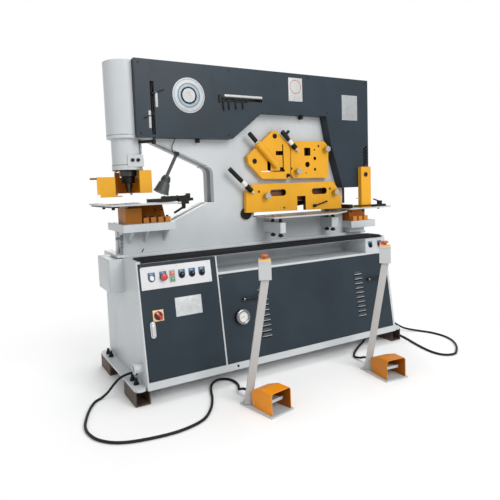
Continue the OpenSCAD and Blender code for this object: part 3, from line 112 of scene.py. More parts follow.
class Recipe:
    """The nodes of one material or world in the making."""

    def __init__(self, owner: bpy.types.Material | bpy.types.World) -> None:
        """Starts from an empty tree.

        Args:
            owner: The material or the world.
        """
        owner.use_nodes = True
        self.tree = owner.node_tree
        self.tree.nodes.clear()

    def node(self, kind: str, settings: dict[str, Any] | None = None, out: int | str = 0,
             **sockets: Any) -> Value:
        """Adds any node.

        Args:
            kind: The node's type, without its ShaderNode prefix.
            settings: What is set on the node before its sockets.
            out: The output that is returned.
            sockets: Values by socket name, underscores for spaces, or i and a number.

        Returns:
            The chosen output.
        """
        node = self.tree.nodes.new("ShaderNode" + kind)
        for key, term in (settings or {}).items():
            setattr(node, key, term)
        for key, term in sockets.items():
            socket = node.inputs[int(key[1:]) if key[1:].isdigit() else key.replace("_", " ")]
            if isinstance(term, Value):
                self.tree.links.new(term.socket, socket)
            elif isinstance(term, (int, float)) or socket.type != "RGBA":
                socket.default_value = term
            else:
                socket.default_value = (*term, 1.0)
        return Value(self, node.outputs[out])

    def noise(self, scale: float, detail: float = 3.0, stretch: Triple | None = None) -> Value:
        """Cloudy noise about 0.5, with scale features to the metre.

        Args:
            scale: Features to the metre.
            detail: Octaves.
            stretch: Factors for the point's axes.

        Returns:
            The noise.
        """
        spot = self.node("TexCoord", out="Object")
        if stretch:
            spot = self.node("VectorMath", {"operation": "MULTIPLY"}, i0=spot, i1=stretch)
        return self.node("TexNoise", Scale=scale, Detail=detail, Vector=spot)

    def mix(self, share: Any, first: Any, second: Any) -> Value:
        """A colour between two by a share."""
        return self.node("Mix", {"data_type": "RGBA"}, 2, i0=share, i6=first, i7=second)

    def rounded(self, radius: float) -> Value:
        """The normal over edges rounded by a radius in metres."""
        return self.node("Bevel", {"samples": 4}, Radius=radius)

    def edges(self, radius: float) -> Value:
        """Compares the rounded normal with the surface's own.

        Args:
            radius: How far the edges are rounded, in metres.

        Returns:
            How near the outer edges are, up to 1.
        """
        flat, sharp = 0.985, 0.80
        return self.node("VectorMath", {"operation": "DOT_PRODUCT"}, "Value", i0=self.rounded(
            radius), i1=self.node("NewGeometry", out="Normal")).ramp(flat, sharp)

    def bump(self, height: Value, strength: float, distance: float, soft: float) -> Value:
        """A normal raised by a height, over edges rounded by a radius."""
        return self.node("Bump", Height=height, Strength=strength, Distance=distance,
                         Normal=self.rounded(soft))

    def close(self, shader: Value, kind: str = "Material") -> None:
        """Joins the finished shader to the output of a material or a world."""
        end = self.tree.nodes.new("ShaderNodeOutput" + kind)
        self.tree.links.new(shader.socket, end.inputs["Surface"])


# ------------ finishes


def shade(colour: Triple, by: float) -> Triple:
    """The colour made lighter or darker by a factor."""
    return tuple(min(1.0, channel * by) for channel in colour)


@dataclass(frozen=True)
class Finish:
    """A surface finish."""

    colour: Triple
    rough: float

    def principled(self, r: Recipe) -> dict[str, Any]:
        """Works out the main shader's inputs.

        Args:
            r: The material's nodes.

        Returns:
            Values by socket name, underscores for spaces.
        """
        raise NotImplementedError


@dataclass(frozen=True)
class Paint(Finish):
    """Sprayed enamel on steel: orange peel, rubbed edges, cloudy tone and dust lines."""

    peel: float = 0.25
    worn: float = 0.35
    worn_colour: Triple = (0.42, 0.42, 0.41)
    cloud: float = 0.10
    gloss: float = 0.30

    def principled(self, r: Recipe) -> dict[str, Any]:
        """Works out the enamel's inputs, from its peel, wear, clouds and dust.

        Args:
            r: The material's nodes.

        Returns:
            Values by socket name, underscores for spaces.
        """
        cloud, fine, speck = r.noise(3.2, 4.0), r.noise(420.0, 2.0), r.noise(160.0)
        body = r.mix(cloud.ramp(0.35, 0.68), shade(self.colour, 1 - self.cloud),
                     shade(self.colour, 1 + self.cloud))
        chip = r.edges(0.0022) * speck.ramp(0.50, 0.62) * self.worn
        smear = r.noise(14.0, 5.0, (1.0, 1.0, 0.25)).ramp(0.56, 0.78) * 0.16
        dusty = r.mix(smear, body, shade(self.colour, 0.72))
        return {
            "Base_Color": r.mix(chip, dusty, self.worn_colour),
            "Roughness": (fine - 0.5) * 0.10 + cloud * 0.10 + (self.rough - 0.05) + smear * 0.6,
            "Normal": r.bump(fine, self.peel, 0.0006, 0.0016),
            "Specular_IOR_Level": self.gloss, "Coat_Weight": 0.04, "Coat_Roughness": 0.22,
        }


@dataclass(frozen=True)
class Metal(Finish):
    """Machined or drawn steel with tool marks along one axis, and light staining; on the knobs the
    spots are dark enough to be painted reflections too.
    """

    grain: Triple | None = None
    stain_and_reflection: float = 0.25
    stain_and_reflection_colour: Triple = (0.16, 0.10, 0.06)
    marks: float = 0.25

    def principled(self, r: Recipe) -> dict[str, Any]:
        """Works out the metal's inputs, from its tool marks and its stains, which on the knobs also
        paint dark reflections.

        Args:
            r: The material's nodes.

        Returns:
            Values by socket name, underscores for spaces.
        """
        lines, cloud = r.noise(260.0, 3.0, self.grain), r.noise(11.0, 5.0)
        spots = r.noise(70.0, 4.0).ramp(0.58, 0.74) * cloud.ramp(0.45, 0.7) * self.stain_and_reflection
        tone = r.mix(lines.ramp(0.3, 0.7), shade(self.colour, 0.86), shade(self.colour, 1.1))
        return {
            "Base_Color": r.mix(spots, tone, self.stain_and_reflection_colour),
            "Metallic": 1.0 - spots * 0.8,
            "Roughness": lines * 0.14 + cloud * 0.12 + (self.rough - 0.12) + spots * 0.4,
            "Normal": r.bump(lines, self.marks, 0.0004, 0.0010),
        }


@dataclass(frozen=True)
class Rust(Finish):
    """Bare plate with mill scale, brown rust and lighter blooms."""

    bloom: Triple = (0.30, 0.13, 0.05)
    mill_scale: Triple = (0.055, 0.045, 0.04)

    def principled(self, r: Recipe) -> dict[str, Any]:
        """Works out the plate's inputs, from its rust, scale and blooms.

        Args:
            r: The material's nodes.

        Returns:
            Values by socket name, underscores for spaces.
        """
        broad, fine = r.noise(22.0, 6.0), r.noise(190.0, 4.0)
        patch = (broad * 0.7 + fine * 0.3).ramp(0.42, 0.62)
        tone = r.mix(patch, self.mill_scale, self.colour)
        tone = r.mix(fine.ramp(0.58, 0.72) * broad.ramp(0.45, 0.6), tone, self.bloom)
        return {
            "Base_Color": r.mix(r.edges(0.002) * 0.5, tone, shade(self.bloom, 1.25)),
            "Roughness": patch * 0.3 + 0.5,
            "Metallic": (1 - patch) * 0.35,
            "Normal": r.bump(fine + patch, 0.5, 0.0007, 0.0012),
        }


@dataclass(frozen=True)
class Plastic(Finish):
    """Moulded plastic with spark-eroded texture and handling shine."""

    texture: float = 0.2
    coat: float = 0.0
    gloss: float = 0.5

    def principled(self, r: Recipe) -> dict[str, Any]:
        """Works out the plastic's inputs, from its grain and shine.

        Args:
            r: The material's nodes.

        Returns:
            Values by socket name, underscores for spaces.
        """
        grain, rub = r.noise(900.0, 2.0), r.noise(40.0, 4.0)
        colour = r.mix(rub.ramp(0.3, 0.75), shade(self.colour, 0.92), shade(self.colour, 1.06))
        return {
            "Base_Color": r.mix(r.edges(0.0010) * 0.25, colour, shade(self.colour, 1.5)),
            "Roughness": rub * 0.16 + (self.rough - 0.08),
            "Normal": r.bump(grain, self.texture, 0.0002, 0.0006),
            "Specular_IOR_Level": self.gloss,
            "Coat_Weight": self.coat, "Coat_Roughness": 0.08,
        }


class Kit(Enum):
    """Every finish on the machine."""

    LIGHT_GREY = Paint((0.555, 0.583, 0.598), 0.40, cloud=0.035, worn=0.25)
    ANTHRACITE = Paint((0.0195, 0.031, 0.0425), 0.42, 0.5, 0.5, (0.14, 0.16, 0.18), gloss=0.22)
    YELLOW = Paint((0.76, 0.37, 0.022), 0.36, 0.25, 0.5, (0.40, 0.34, 0.26), 0.05, 0.22)
    ORANGE = Paint((0.60, 0.22, 0.030), 0.40, cloud=0.07, worn=0.4)
    BOLSTER = Paint((0.46, 0.155, 0.010), 0.42, 0.25, 0.5, (0.22, 0.16, 0.11), 0.12, 0.2)
    # A darker copy of the bolster's orange-brown: painted shade under the tables and inside the
    # pedal hoods.
    SHADED_ORANGE_BROWN = Paint((0.36, 0.105, 0.008), 0.46, 0.25, 0.4, (0.22, 0.15, 0.10), 0.2, 0.2)
    HOOD = Paint((0.88, 0.30, 0.006), 0.36, cloud=0.06, worn=0.4, gloss=0.22)
    # A darker copy of the hood paint, for the right station's hood: painted shade.
    HOOD_SHADED = Paint((0.56, 0.185, 0.006), 0.40, worn=0.5, gloss=0.2)
    WHITE = Paint((0.50, 0.515, 0.525), 0.34, cloud=0.03, worn=0.5)
    PANEL_WHITE = Paint((0.68, 0.68, 0.69), 0.36, cloud=0.03, worn=0.4)
    POST = Paint((0.46, 0.45, 0.44), 0.38, cloud=0.04, worn=0.3)
    TANK = Paint((0.17, 0.20, 0.22), 0.45)
    MOTOR = Paint((0.035, 0.10, 0.19), 0.42)
    CREAM = Paint((0.60, 0.58, 0.52), 0.42)
    # Near-black: painted shade in vent slits, small holes and the walls of recesses.
    PAINTED_SHADE = Paint((0.022, 0.024, 0.026), 0.7, worn=0.0)
    DARK_RED = Paint((0.095, 0.016, 0.010), 0.42, worn=0.6)
    LAMP_GREY = Paint((0.066, 0.070, 0.075), 0.40, 0.15, worn_colour=(0.2, 0.2, 0.2))
    MAT = Paint((0.012, 0.013, 0.014), 0.7, worn=0.0, gloss=0.10)
    # Near-black plates laid in slits and slots: painted shade.
    SLIT_SHADE = Paint((0.004, 0.004, 0.005), 0.8, worn=0.0, gloss=0.03)
    # The louvre hoods are lighter than the cover where light catches them, and their lips brighter
    # still: painted light and painted highlight.
    LOUVRE_LIT = Paint((0.034, 0.050, 0.062), 0.40, 0.25, 0.8, (0.3, 0.32, 0.33))
    LOUVRE_LIP_HIGHLIGHT = Paint((0.50, 0.52, 0.53), 0.35, 0.25, 0.9, (0.55, 0.56, 0.56))
    STEEL = Metal((0.56, 0.56, 0.55), 0.34)
    TABLE_STEEL = Metal((0.235, 0.237, 0.232), 0.42, (0.08, 1.0, 1.0), 0.35)
    CHROME = Metal((0.62, 0.62, 0.62), 0.20, stain_and_reflection=0.12, marks=0.1)
    RAM_STEEL = Metal((0.060, 0.057, 0.054), 0.30, stain_and_reflection=0.5)
    # Bright steel whose heavy dark brown spots are stains and painted reflections of dark
    # surroundings.
    KNOB = Metal((0.46, 0.455, 0.45), 0.24, stain_and_reflection=0.8, stain_and_reflection_colour=(0.045, 0.035, 0.03))
    BEZEL = Metal((0.24, 0.245, 0.25), 0.26, stain_and_reflection=0.3)
    BLACK_STEEL = Metal((0.026, 0.025, 0.0245), 0.44, stain_and_reflection=0.3)
    # Dark brown steel; on the parts seen in gaps, behind the hold-down windows and on cut walls it
    # is painted shade.
    BROWN_STEEL = Metal((0.13, 0.062, 0.034), 0.48, stain_and_reflection=0.7)
    BRASS = Metal((0.62, 0.42, 0.14), 0.30, stain_and_reflection=0.2)
    RUST = Rust((0.115, 0.062, 0.038), 0.8)
    BLACK = Plastic((0.010, 0.010, 0.011), 0.40, gloss=0.22)
    RUBBER = Plastic((0.011, 0.011, 0.012), 0.62, 0.5, gloss=0.2)
    RED = Plastic((0.47, 0.040, 0.028), 0.32, coat=0.3)
    OLD_RED = Plastic((0.46, 0.095, 0.032), 0.36, coat=0.15)
    RED_CAP = Plastic((0.72, 0.13, 0.055), 0.34, coat=0.2)
    SWITCH_ORANGE = Plastic((0.80, 0.52, 0.27), 0.36, coat=0.1)
    GREEN = Plastic((0.04, 0.33, 0.13), 0.32, coat=0.2)
    PLATE_BLUE = Plastic((0.011, 0.090, 0.205), 0.38)
    WHITE_PLASTIC = Plastic((0.76, 0.76, 0.74), 0.36)
    GREY_PLASTIC = Plastic((0.42, 0.43, 0.43), 0.42)
    CAP_YELLOW = Plastic((0.80, 0.49, 0.16), 0.38, coat=0.1)
    LABEL = Plastic((0.50, 0.505, 0.50), 0.34, 0.05)
    LABEL_INK = Plastic((0.10, 0.11, 0.13), 0.4, 0.05)
    DATA_PLATE = Plastic((0.36, 0.375, 0.385), 0.36, 0.05)
    DOOR_PLATE = Plastic((0.56, 0.58, 0.59), 0.36, 0.05)
    DATA_INK = Plastic((0.25, 0.26, 0.27), 0.4, 0.05)
    DULL_RED = Plastic((0.36, 0.09, 0.075), 0.4, 0.05)
    DIAL = Plastic((0.74, 0.75, 0.72), 0.3, 0.02, 0.5)
    BADGE_BLUE = Plastic((0.12, 0.24, 0.33), 0.4, 0.05)

    def material(self) -> bpy.types.Material:
        """Makes the finish's material once, and shares it after that.

        Returns:
            The material.
        """
        name = "fin_" + self.name.lower()
        made = bpy.data.materials.get(name)
        if not made:
            made = bpy.data.materials.new(name)
            made.diffuse_color = (*self.value.colour, 1.0)
            r = Recipe(made)
            r.close(r.node("BsdfPrincipled", out="BSDF", **self.value.principled(r)))
        return made


# ------------ places and outlines


def turn(x: float = 0, y: float = 0, z: float = 0) -> Matrix:
    """Turns about X, then Y, then Z, in degrees."""
    spins = [Matrix.Rotation(math.radians(a), 4, axis) for axis, a in zip("ZYX", (z, y, x))]
    return spins[0] @ spins[1] @ spins[2]


def at(x: float, y: float, z: float, spin: Matrix | None = None) -> Matrix:
    """A place, with an optional turn there."""
    return Matrix.Translation((x, y, z)) @ (spin or Matrix.Identity(4))


def front(x: float, y: float, z: float, spin: float = 0) -> Matrix:
    """A place on a face that looks towards -Y: local Z comes out of it, local Y is up."""
    return at(x, y, z, turn(90) @ turn(z=spin))


def flank(x: float, y: float, z: float) -> Matrix:
    """A place on the end face of the machine's own side of X = 0."""
    return at(x, y, z, turn(z=math.copysign(90, x)) @ turn(90))


def slope(x: float, z: float, lift: float = 0) -> Matrix:
    """A place on the cabinet's leaning front at a height, lifted out of it along its normal."""
    y = SLOPE_FOOT.y + (z - SLOPE_FOOT.z) * SLOPE_RUN.y / SLOPE_RUN.z
    return at(x, y, z, turn(math.degrees(math.atan2(SLOPE_RUN.z, SLOPE_RUN.y)))) @ at(0, 0, lift)


def around(seat: Matrix, count: int, start: float = 0) -> list[Matrix]:
    """The place turned about its Z to equal steps of a circle, from a start in degrees."""
    return [seat @ turn(z=360 * k / count + start) for k in range(count)]


def grid(seat: Matrix, xs: Sequence[float], ys: Sequence[float], lift: float = 0) -> list[Matrix]:
    """Places at every crossing of local columns and rows."""
    return [seat @ at(x, y, lift) for x in xs for y in ys]


def polar(radius: float, angle: float) -> Pair:
    """The point at a radius and an angle in radians."""
    return radius * math.cos(angle), radius * math.sin(angle)


def ring(radius: float, sides: int, start: float = 0) -> list[Pair]:
    """Corners of a regular outline, from a start in degrees."""
    return [polar(radius, math.radians(start) + math.tau * k / sides) for k in range(sides)]


def panel(width: float, height: float, corner: float, steps: int = 4) -> list[Pair]:
    """Outline of a centred panel with round corners.

    Args:
        width: Along local X.
        height: Along local Y.
        corner: Corner radius.
        steps: Sides to each corner.

    Returns:
        Its points, anticlockwise.
    """
    points = []
    for k, (sx, sy) in enumerate(((1, 1), (-1, 1), (-1, -1), (1, -1))):
        for j in range(steps + 1):
            x, y = polar(corner, math.radians(90 * (k + j / steps)))
            points.append((sx * (width / 2 - corner) + x, sy * (height / 2 - corner) + y))
    return points


def legend(width: float, above: float) -> list[Pair]:
    """Outline of a legend plate: square above the control, round below it."""
    lower = [polar(width / 2, math.pi * (1 + k / 12)) for k in range(13)]
    return [*lower, (width / 2, above), (-width / 2, above)]


def shrunk(outline: Sequence[Pair], by: float) -> list[Pair]:
    """Moves an outline inwards, corner by corner.

    Args:
        outline: Its points, anticlockwise.
        by: The distance.

    Returns:
        The new points.
    """
    moved, count, least = [], len(outline), 0.35
    for k in range(count):
        before, here, after = (Vector(outline[(k + d) % count]) for d in (-1, 0, 1))
        runs = [run for run in (here - before, after - here) if run.length > TINY]
        normals = [Vector((-run.y, run.x)).normalized() for run in runs]
        mean = sum(normals, Vector((0, 0)))
        mean = mean.normalized() if mean.length > TINY else normals[0]
        moved.append(tuple(here + mean * by / max(least, mean.dot(normals[0]))))
    return moved


# ------------ pieces


class Maker:
    """One piece in the making: shapes join a single mesh, each with its own finish.

    A shape goes to one place or to each of several.
    """

    def __init__(self, name: str, body: str, slot: str) -> None:
        """Opens a piece.

        Args:
            name: The piece's name.
            body: The body that it rides on.
            slot: The record's material slot; stored, not used.
        """
        self.name, self.body, self.slot = name, body, slot
        self.points: list[Vector] = []
        self.faces: list[tuple[list[int], int]] = []
        self.kits: list[Kit] = []

    def stack(self, rings: Sequence[Sequence[Sequence[float]]], place: Places,
              kit: Kit, capped: bool = True) -> None:
        """Skins a stack of outlines that have the same number of points.

        Args:
            rings: The outlines, each a loop of local points.
            place: The local frame, or several.
            kit: The finish.
            capped: Whether the first and the last outline are closed.
        """
        sides = len(rings[0])
        top = (len(rings) - 1) * sides
        faces = [(low + k, low + (k + 1) % sides, low + sides + (k + 1) % sides, low + sides + k)
                 for low in range(0, top, sides) for k in range(sides)]
        if capped:
            faces += [range(sides)[::-1], range(top, top + sides)]
        if kit not in self.kits:
            self.kits.append(kit)
        for spot in [place] if isinstance(place, Matrix) else place:
            base = len(self.points)
            self.points += [spot @ Vector(point) for loop in rings for point in loop]
            self.faces += [([base + c for c in face], self.kits.index(kit)) for face in faces]

    def pressed(self, outline: Sequence[Pair], depth: float, place: Places,
                kit: Kit, edge: float = 0.6) -> None:
        """A plate of an outline, with its outer edge broken.

        Args:
            outline: Its points in local X and Y.
            depth: How far it stands along local Z.
            place: The local frame, or several.
            kit: The finish.
            edge: The broken edge's width.
        """
        levels = [(outline, 0), (outline, depth - edge),
                  (shrunk(outline, edge * 0.3), depth - edge * 0.3),
                  (shrunk(outline, edge), depth)]
        self.stack([[(x, y, z) for x, y in loop] for loop, z in levels], place, kit)

    def turned(self, profile: Sequence[Pair], place: Places, kit: Kit,
               sides: int = 28, loop: bool = False, start: float = 0) -> None:
        """A round or many-sided piece from its profile.

        Args:
            profile: Radius and height of each ring along local Z.
            place: The local frame, or several.
            kit: The finish.
            sides: Flats round it.
            loop: Whether the profile closes on itself, as a ring's does.
            start: Where the first corner is, in degrees.
        """
        levels = [*profile, profile[0]] if loop else profile
        rings = [[(x, y, h) for x, y in ring(max(r, 0.01), sides, start)] for r, h in levels]
        self.stack(rings, place, kit, not loop)

    def rod(self, path: Sequence[Triple], radius: float, kit: Kit, sides: int = 10,
            place: Matrix = Matrix.Identity(4)) -> None:
        """A round bar or wire along a path.

        Args:
            path: Its points.
            radius: Its radius.
            kit: The finish.
            sides: Flats round it.
            place: The local frame.
        """
        points, rings, side = [Vector(p) for p in path], [], None
        for before, point, after in zip([points[0], *points], points, [*points[1:], points[-1]]):
            run = (after - before).normalized()
            side = side or run.orthogonal().normalized()
            side = (side - run * side.dot(run)).normalized()
            rings.append([point + (side * x + run.cross(side) * y)
                          for x, y in ring(radius, sides)])
        self.stack(rings, place, kit)

    def bolt(self, places: Places, radius: float, height: float,
             kit: Kit = Kit.BLACK_STEEL, washer: float = 0) -> None:
        """Hexagon heads with a crowned top, and a washer under each if asked.

        Args:
            places: Their seats: local Z comes out of each.
            radius: Across corners, halved.
            height: Of the head.
            kit: The finish.
            washer: The washer's radius, or 0.
        """
        lift = radius * 0.16 if washer else 0
        if washer:
            self.turned([(washer, 0), (washer, lift * 0.8), (washer - 0.4, lift)], places, kit, 24)
        self.turned([(radius, lift), (radius, lift + height * 0.86),
                     (radius * 0.86, lift + height), (radius * 0.3, lift + height * 1.02)],
                    places, kit, 6, start=12)

    def socket_head(self, place: Places, radius: float, height: float,
                    kit: Kit = Kit.BLACK_STEEL) -> None:
        """Socket-head screws with their hexagon recess.

        Args:
            place: The seat, or several.
            radius: Of the head.
            height: Of the head.
            kit: The finish.
        """
        sides, start, sixth = 18, math.radians(10), math.pi / 3
        angles = [start + math.tau * k / sides for k in range(sides)]
        hexagon = [polar(radius * 0.435 / math.cos(a % sixth - sixth / 2), a) for a in angles]
        rim = [(ring(r, sides, 10), z)
               for r, z in ((radius, 0), (radius, height * 0.9), (radius * 0.9, height))]
        self.stack([[(x, y, z) for x, y in loop] for loop, z in (
            *rim, (hexagon, height), (hexagon, height - radius * 0.55))], place, kit)

    def close(self, smooth: float = 32.0, replaces: bool = False) -> None:
        """Finishes the piece: metres, finishes, shading and body.

        Args:
            smooth: Edges up to this angle are shaded smooth, in degrees.
            replaces: Whether it stands in for the node that its body is named after.
        """
        work = bmesh.new()
        corners = [work.verts.new(p * MM) for p in self.points]
        for face, number in self.faces:
            made = work.faces.new([corners[c] for c in face])
            made.material_index, made.smooth = number, True
        bmesh.ops.remove_doubles(work, verts=work.verts, dist=TINY)
        bmesh.ops.dissolve_degenerate(work, edges=work.edges, dist=TINY / 10)
        mesh = bpy.data.meshes.new(self.name)
        work.to_mesh(mesh)
        work.free()
        mesh.set_sharp_from_angle(angle=math.radians(smooth))
        for kit in self.kits:
            mesh.materials.append(kit.material())
        piece = linked(self.name, mesh)
        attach(piece, self.body)
        if replaces:
            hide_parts(self.body)
        LOG.info("%s: %d faces, %d finishes, on %s",
                 self.name, len(mesh.polygons), len(self.kits), self.body)


def linked(name: str, data: bpy.types.ID) -> bpy.types.Object:
    """Puts a new object in the scene.

    Args:
        name: The object's name.
        data: Its mesh, curve, lamp or camera.

    Returns:
        The object.
    """
    made = bpy.data.objects.new(name, data)
    bpy.context.scene.collection.objects.link(made)
    return made


def inside(low: Triple, high: Triple, place: Matrix = Matrix.Identity(4)) -> Region:
    """Faces whose middle lies in a box, in millimetres.

    Args:
        low: The box's lowest corner.
        high: Its highest corner.
        place: The box's own frame.

    Returns:
        The region.
    """
    back = place.inverted()
    return lambda middle, _: all(l <= s <= h for l, s, h in zip(low, back @ middle, high))


def dress(nodes: str, kit: Kit, *zones: tuple[Any, ...]) -> None:
    """Gives frame nodes their finish, and other finishes to regions of them.

    Args:
        nodes: The nodes' names, with spaces between.
        kit: The finish of the whole.
        zones: A finish with a region or with what inside() takes. The last one that holds a
            face wins.
    """
    kits = [kit, *(zone[0] for zone in zones)]
    regions = [inside(*zone[1:]) if zone[2:] else zone[1] for zone in zones]
    for node in nodes.split():
        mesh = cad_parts[node].data
        mesh.materials.clear()
        for each in kits:
            mesh.materials.append(each.material())
        for face in mesh.polygons:
            middle = Vector(face.center) / MM
            held = [k for k, region in enumerate(regions, 1) if region(middle, face.normal)]
            face.material_index = max(held, default=0)
        LOG.info("%s dressed in %s", node, ", ".join(each.name for each in kits))


# ------------ studio


@dataclass
class Studio:
    """Plain pale floor, soft lamps and the camera."""

    spot: Triple = (-1.650, -2.811, 1.135)
    yaw: float = 29.83
    pitch: float = -5.21
    roll: float = -2.004
    lens: float = 35.3
    shift: Pair = (0.0019, -0.0404)
    ambient: float = 0.46
    floor_tone: float = 0.97
    shadow_reach: Pair = (1.1, 2.2)

    def build(self) -> None:
        """Makes everything that isn't the machine."""
        self._camera()
        self._world()
        self._floor()
        self._lamp("key", (0.7, -5.2, 3.9), (0.0, -0.2, 0.8), 3.2, 200.0)
        self._lamp("fill", (-4.8, -2.0, 3.0), (0.0, 0.0, 0.8), 3.0, 27.0)
        self._lamp("top", (0.3, 0.4, 5.2), (0.0, 0.0, 0.6), 4.0, 100.0)
        self._lamp("back", (1.6, 4.6, 3.0), (0.0, 0.0, 0.9), 3.0, 90.0)

    def _camera(self) -> None:
        """The camera at the three-quarter view."""
        scene = bpy.context.scene
        scene.view_settings.view_transform = "Standard"
        data = bpy.data.cameras.new("camera")
        data.lens, data.sensor_width = self.lens, 36.0
        data.shift_x, data.shift_y = self.shift
        data.clip_start, data.clip_end = 0.05, 100.0
        scene.camera = linked("camera", data)
        scene.camera.matrix_world = at(
            *self.spot, turn(x=90 + self.pitch, z=-self.yaw) @ turn(z=self.roll))
        LOG.info("camera at %s, lens %.1f mm", self.spot, self.lens)

    def _seen(self, r: Recipe) -> Value:
        """Tells what is seen from what is lit.

        Args:
            r: The nodes of the floor or the world.

        Returns:
            One for camera, glossy and transmission rays.
        """
        camera, glossy, through = (r.node("LightPath", out=f"Is {kind} Ray")
                                   for kind in ("Camera", "Glossy", "Transmission"))
        return camera.peak(glossy).peak(through)

    def _world(self) -> None:
        """Soft light from all round, seen as white."""
        bpy.context.scene.world = world = bpy.data.worlds.new("studio")
        r = Recipe(world)
        strength = self._seen(r) * (1 - self.ambient) + self.ambient
        r.close(r.node("Background", out="Background", Color=(1, 1, 1), Strength=strength), "World")

    def _floor(self) -> None:
        """A pale floor that keeps the shadow near the machine and fades to white."""
        mesh = bpy.data.meshes.new("floor")
        work = bmesh.new()
        bmesh.ops.create_grid(work, x_segments=24, y_segments=24, size=40.0)
        work.to_mesh(mesh)
        work.free()
        floor = linked("floor", mesh)
        floor.location.z = -0.0005
        made = bpy.data.materials.new("studio_floor")
        r = Recipe(made)
        reach = r.node("VectorMath", {"operation": "LENGTH"}, "Value",
                       i0=r.node("TexCoord", out="Object"))
        far = reach.ramp(*self.shadow_reach) * self._seen(r)
        plain = r.node("BsdfDiffuse", out="BSDF", Color=(self.floor_tone,) * 3)
        white = r.node("Emission", out="Emission", Color=(1, 1, 1), Strength=1.0)
        r.close(r.node("MixShader", out="Shader", i0=far, i1=plain, i2=white))
        mesh.materials.append(made)

    def _lamp(self, name: str, spot: Triple, target: Triple, size: float, watts: float) -> None:
        """One square soft lamp.

        Args:
            name: Its name.
            spot: Where it is, in metres.
            target: What it points at.
            size: Its side.
            watts: Its power.
        """
        data = bpy.data.lights.new(name, "AREA")
        data.shape, data.size, data.energy = "SQUARE", size, watts
        lamp = linked(name, data)
        lamp.location, lamp.rotation_mode = spot, "QUATERNION"
        lamp.rotation_quaternion = (Vector(target) - Vector(spot)).to_track_quat("-Z", "Y")


# ------------ cords


# How a station's post is turned and how far it leans, in degrees.
POST_TURN, POST_LEAN = -40, 9.5


@dataclass(frozen=True)
class StationPlace:
    """Where a pedal station stands, and how it is turned."""

    x: float
    y: float
    spin: float

    @property
    def frame(self) -> Matrix:
        """The station's local frame: local Y points away from the operator."""
        return at(self.x, self.y, 0, turn(z=self.spin))

    @property
    def post(self) -> Matrix:
        """The leaning post's own frame: its middle at floor level, local Z along it."""
        return self.frame @ at(-48.5, 88, 0, turn(z=POST_TURN)) @ turn(y=POST_LEAN)

    @property
    def head(self) -> Matrix:
        """The underside of the box on the post, at its middle."""
        return self.frame @ at(35.6, 17.4, 656, turn(z=POST_TURN))

    def exit(self, far: float, high: float) -> Triple:
        """A point of the lead at a distance behind the station and a height."""
        return tuple(self.frame @ Vector((8, far, high)))


STATIONS = {"left": StationPlace(-395, -737, 11), "right": StationPlace(412, -753, -6)}
LEFT, RIGHT = STATIONS.values()


@dataclass
class FloorCord:
    """A pedal's lead, from its gland on the machine or its station along the floor.

    A point of the route without a height lies on the floor.
    """

    name: str
    node: str
    route: list[Sequence[float]]
    thick: float = 14.0
    steps: int = 5
    clear: float = 0.4
    floor: float = 7.9

    def centreline(self) -> list[Vector]:
        """Draws the route as one smooth line.

        Returns:
            Its points, in metres, nowhere below the floor.
        """
        points = [Vector(p if p[2:] else (*p, self.floor)) for p in self.route]
        ends = [points[0] * 2 - points[1], *points, points[-1] * 2 - points[-2]]
        line = []
        for p0, p1, p2, p3 in zip(ends, ends[1:], ends[2:], ends[3:]):
            for t in (j / self.steps for j in range(self.steps)):
                line.append(0.5 * (
                    2 * p1 + (p2 - p0) * t + (2 * p0 - 5 * p1 + 4 * p2 - p3) * t ** 2
                    + (3 * p1 - p0 - 3 * p2 + p3) * t ** 3))
        lowest = self.thick / 2 + self.clear
        return [Vector((p.x, p.y, max(p.z, lowest))) * MM for p in (*line, points[-1])]

    def build(self) -> None:
        line = self.centreline()
        data = bpy.data.curves.new(self.name, "CURVE")
        data.dimensions = "3D"
        data.bevel_depth, data.bevel_resolution = self.thick * MM / 2, 4
        data.use_fill_caps = True
        spline = data.splines.new("POLY")
        spline.points.add(len(line) - 1)
        for spot, point in zip(spline.points, line):
            spot.co = (*point, 1.0)
        spline.use_smooth = True
        data.materials.append(Kit.RUBBER.material())
        lead = linked(self.name, data)
        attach(lead, "machine")
        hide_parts(self.node)
        self.thick * MM


CORDS = (
    FloorCord("left_lead", "cord_left", [
        (-925, -190, 122), (-945, -190, 122), (-990, -185, 108), (-1025, -168, 70),
        (-1058, -155, 28), (-1095, -160), (-1135, -191), (-1180, -272), (-1216, -368),
        (-1237, -450), (-1236, -530), (-1208, -612), (-1140, -682), (-1028, -722), (-872, -737),
        (-735, -700), (-650, -612), (-590, -505), (-552, -410), (-508, -332), (-452, -296),
        (-402, -318), (-384, -374), (-392, -432), (-414, -480, 13), LEFT.exit(228, 22),
        LEFT.exit(196, 34), LEFT.exit(176, 38), LEFT.exit(160, 38)]),
    FloorCord("right_lead", "cord_right", [
        RIGHT.exit(160, 38), RIGHT.exit(176, 38), RIGHT.exit(200, 32), RIGHT.exit(240, 16),
        (450, -458), (520, -392), (610, -330), (705, -270), (790, -200), (850, -135),
        (910, -108), (970, -125), (1012, -180), (1022, -270), (1000, -380), (960, -500),
        (928, -610), (915, -700), (935, -768), (1000, -792), (1080, -748), (1160, -680),
        (1222, -595), (1250, -500), (1240, -400), (1200, -310), (1140, -240, 22),
        (1080, -205, 62), (1025, -192, 98), (965, -190, 118), (945, -190, 122),
        (925, -190, 122)]),
)


# ------------ controls


PANEL_SCREW = ((3.6, 0), (3.4, 1.4), (2.2, 2.2))
SIDE_SCREW = ((5.4, 0), (5.2, 2.0), (3.2, 3.2))
ENDS = (-1, 1)


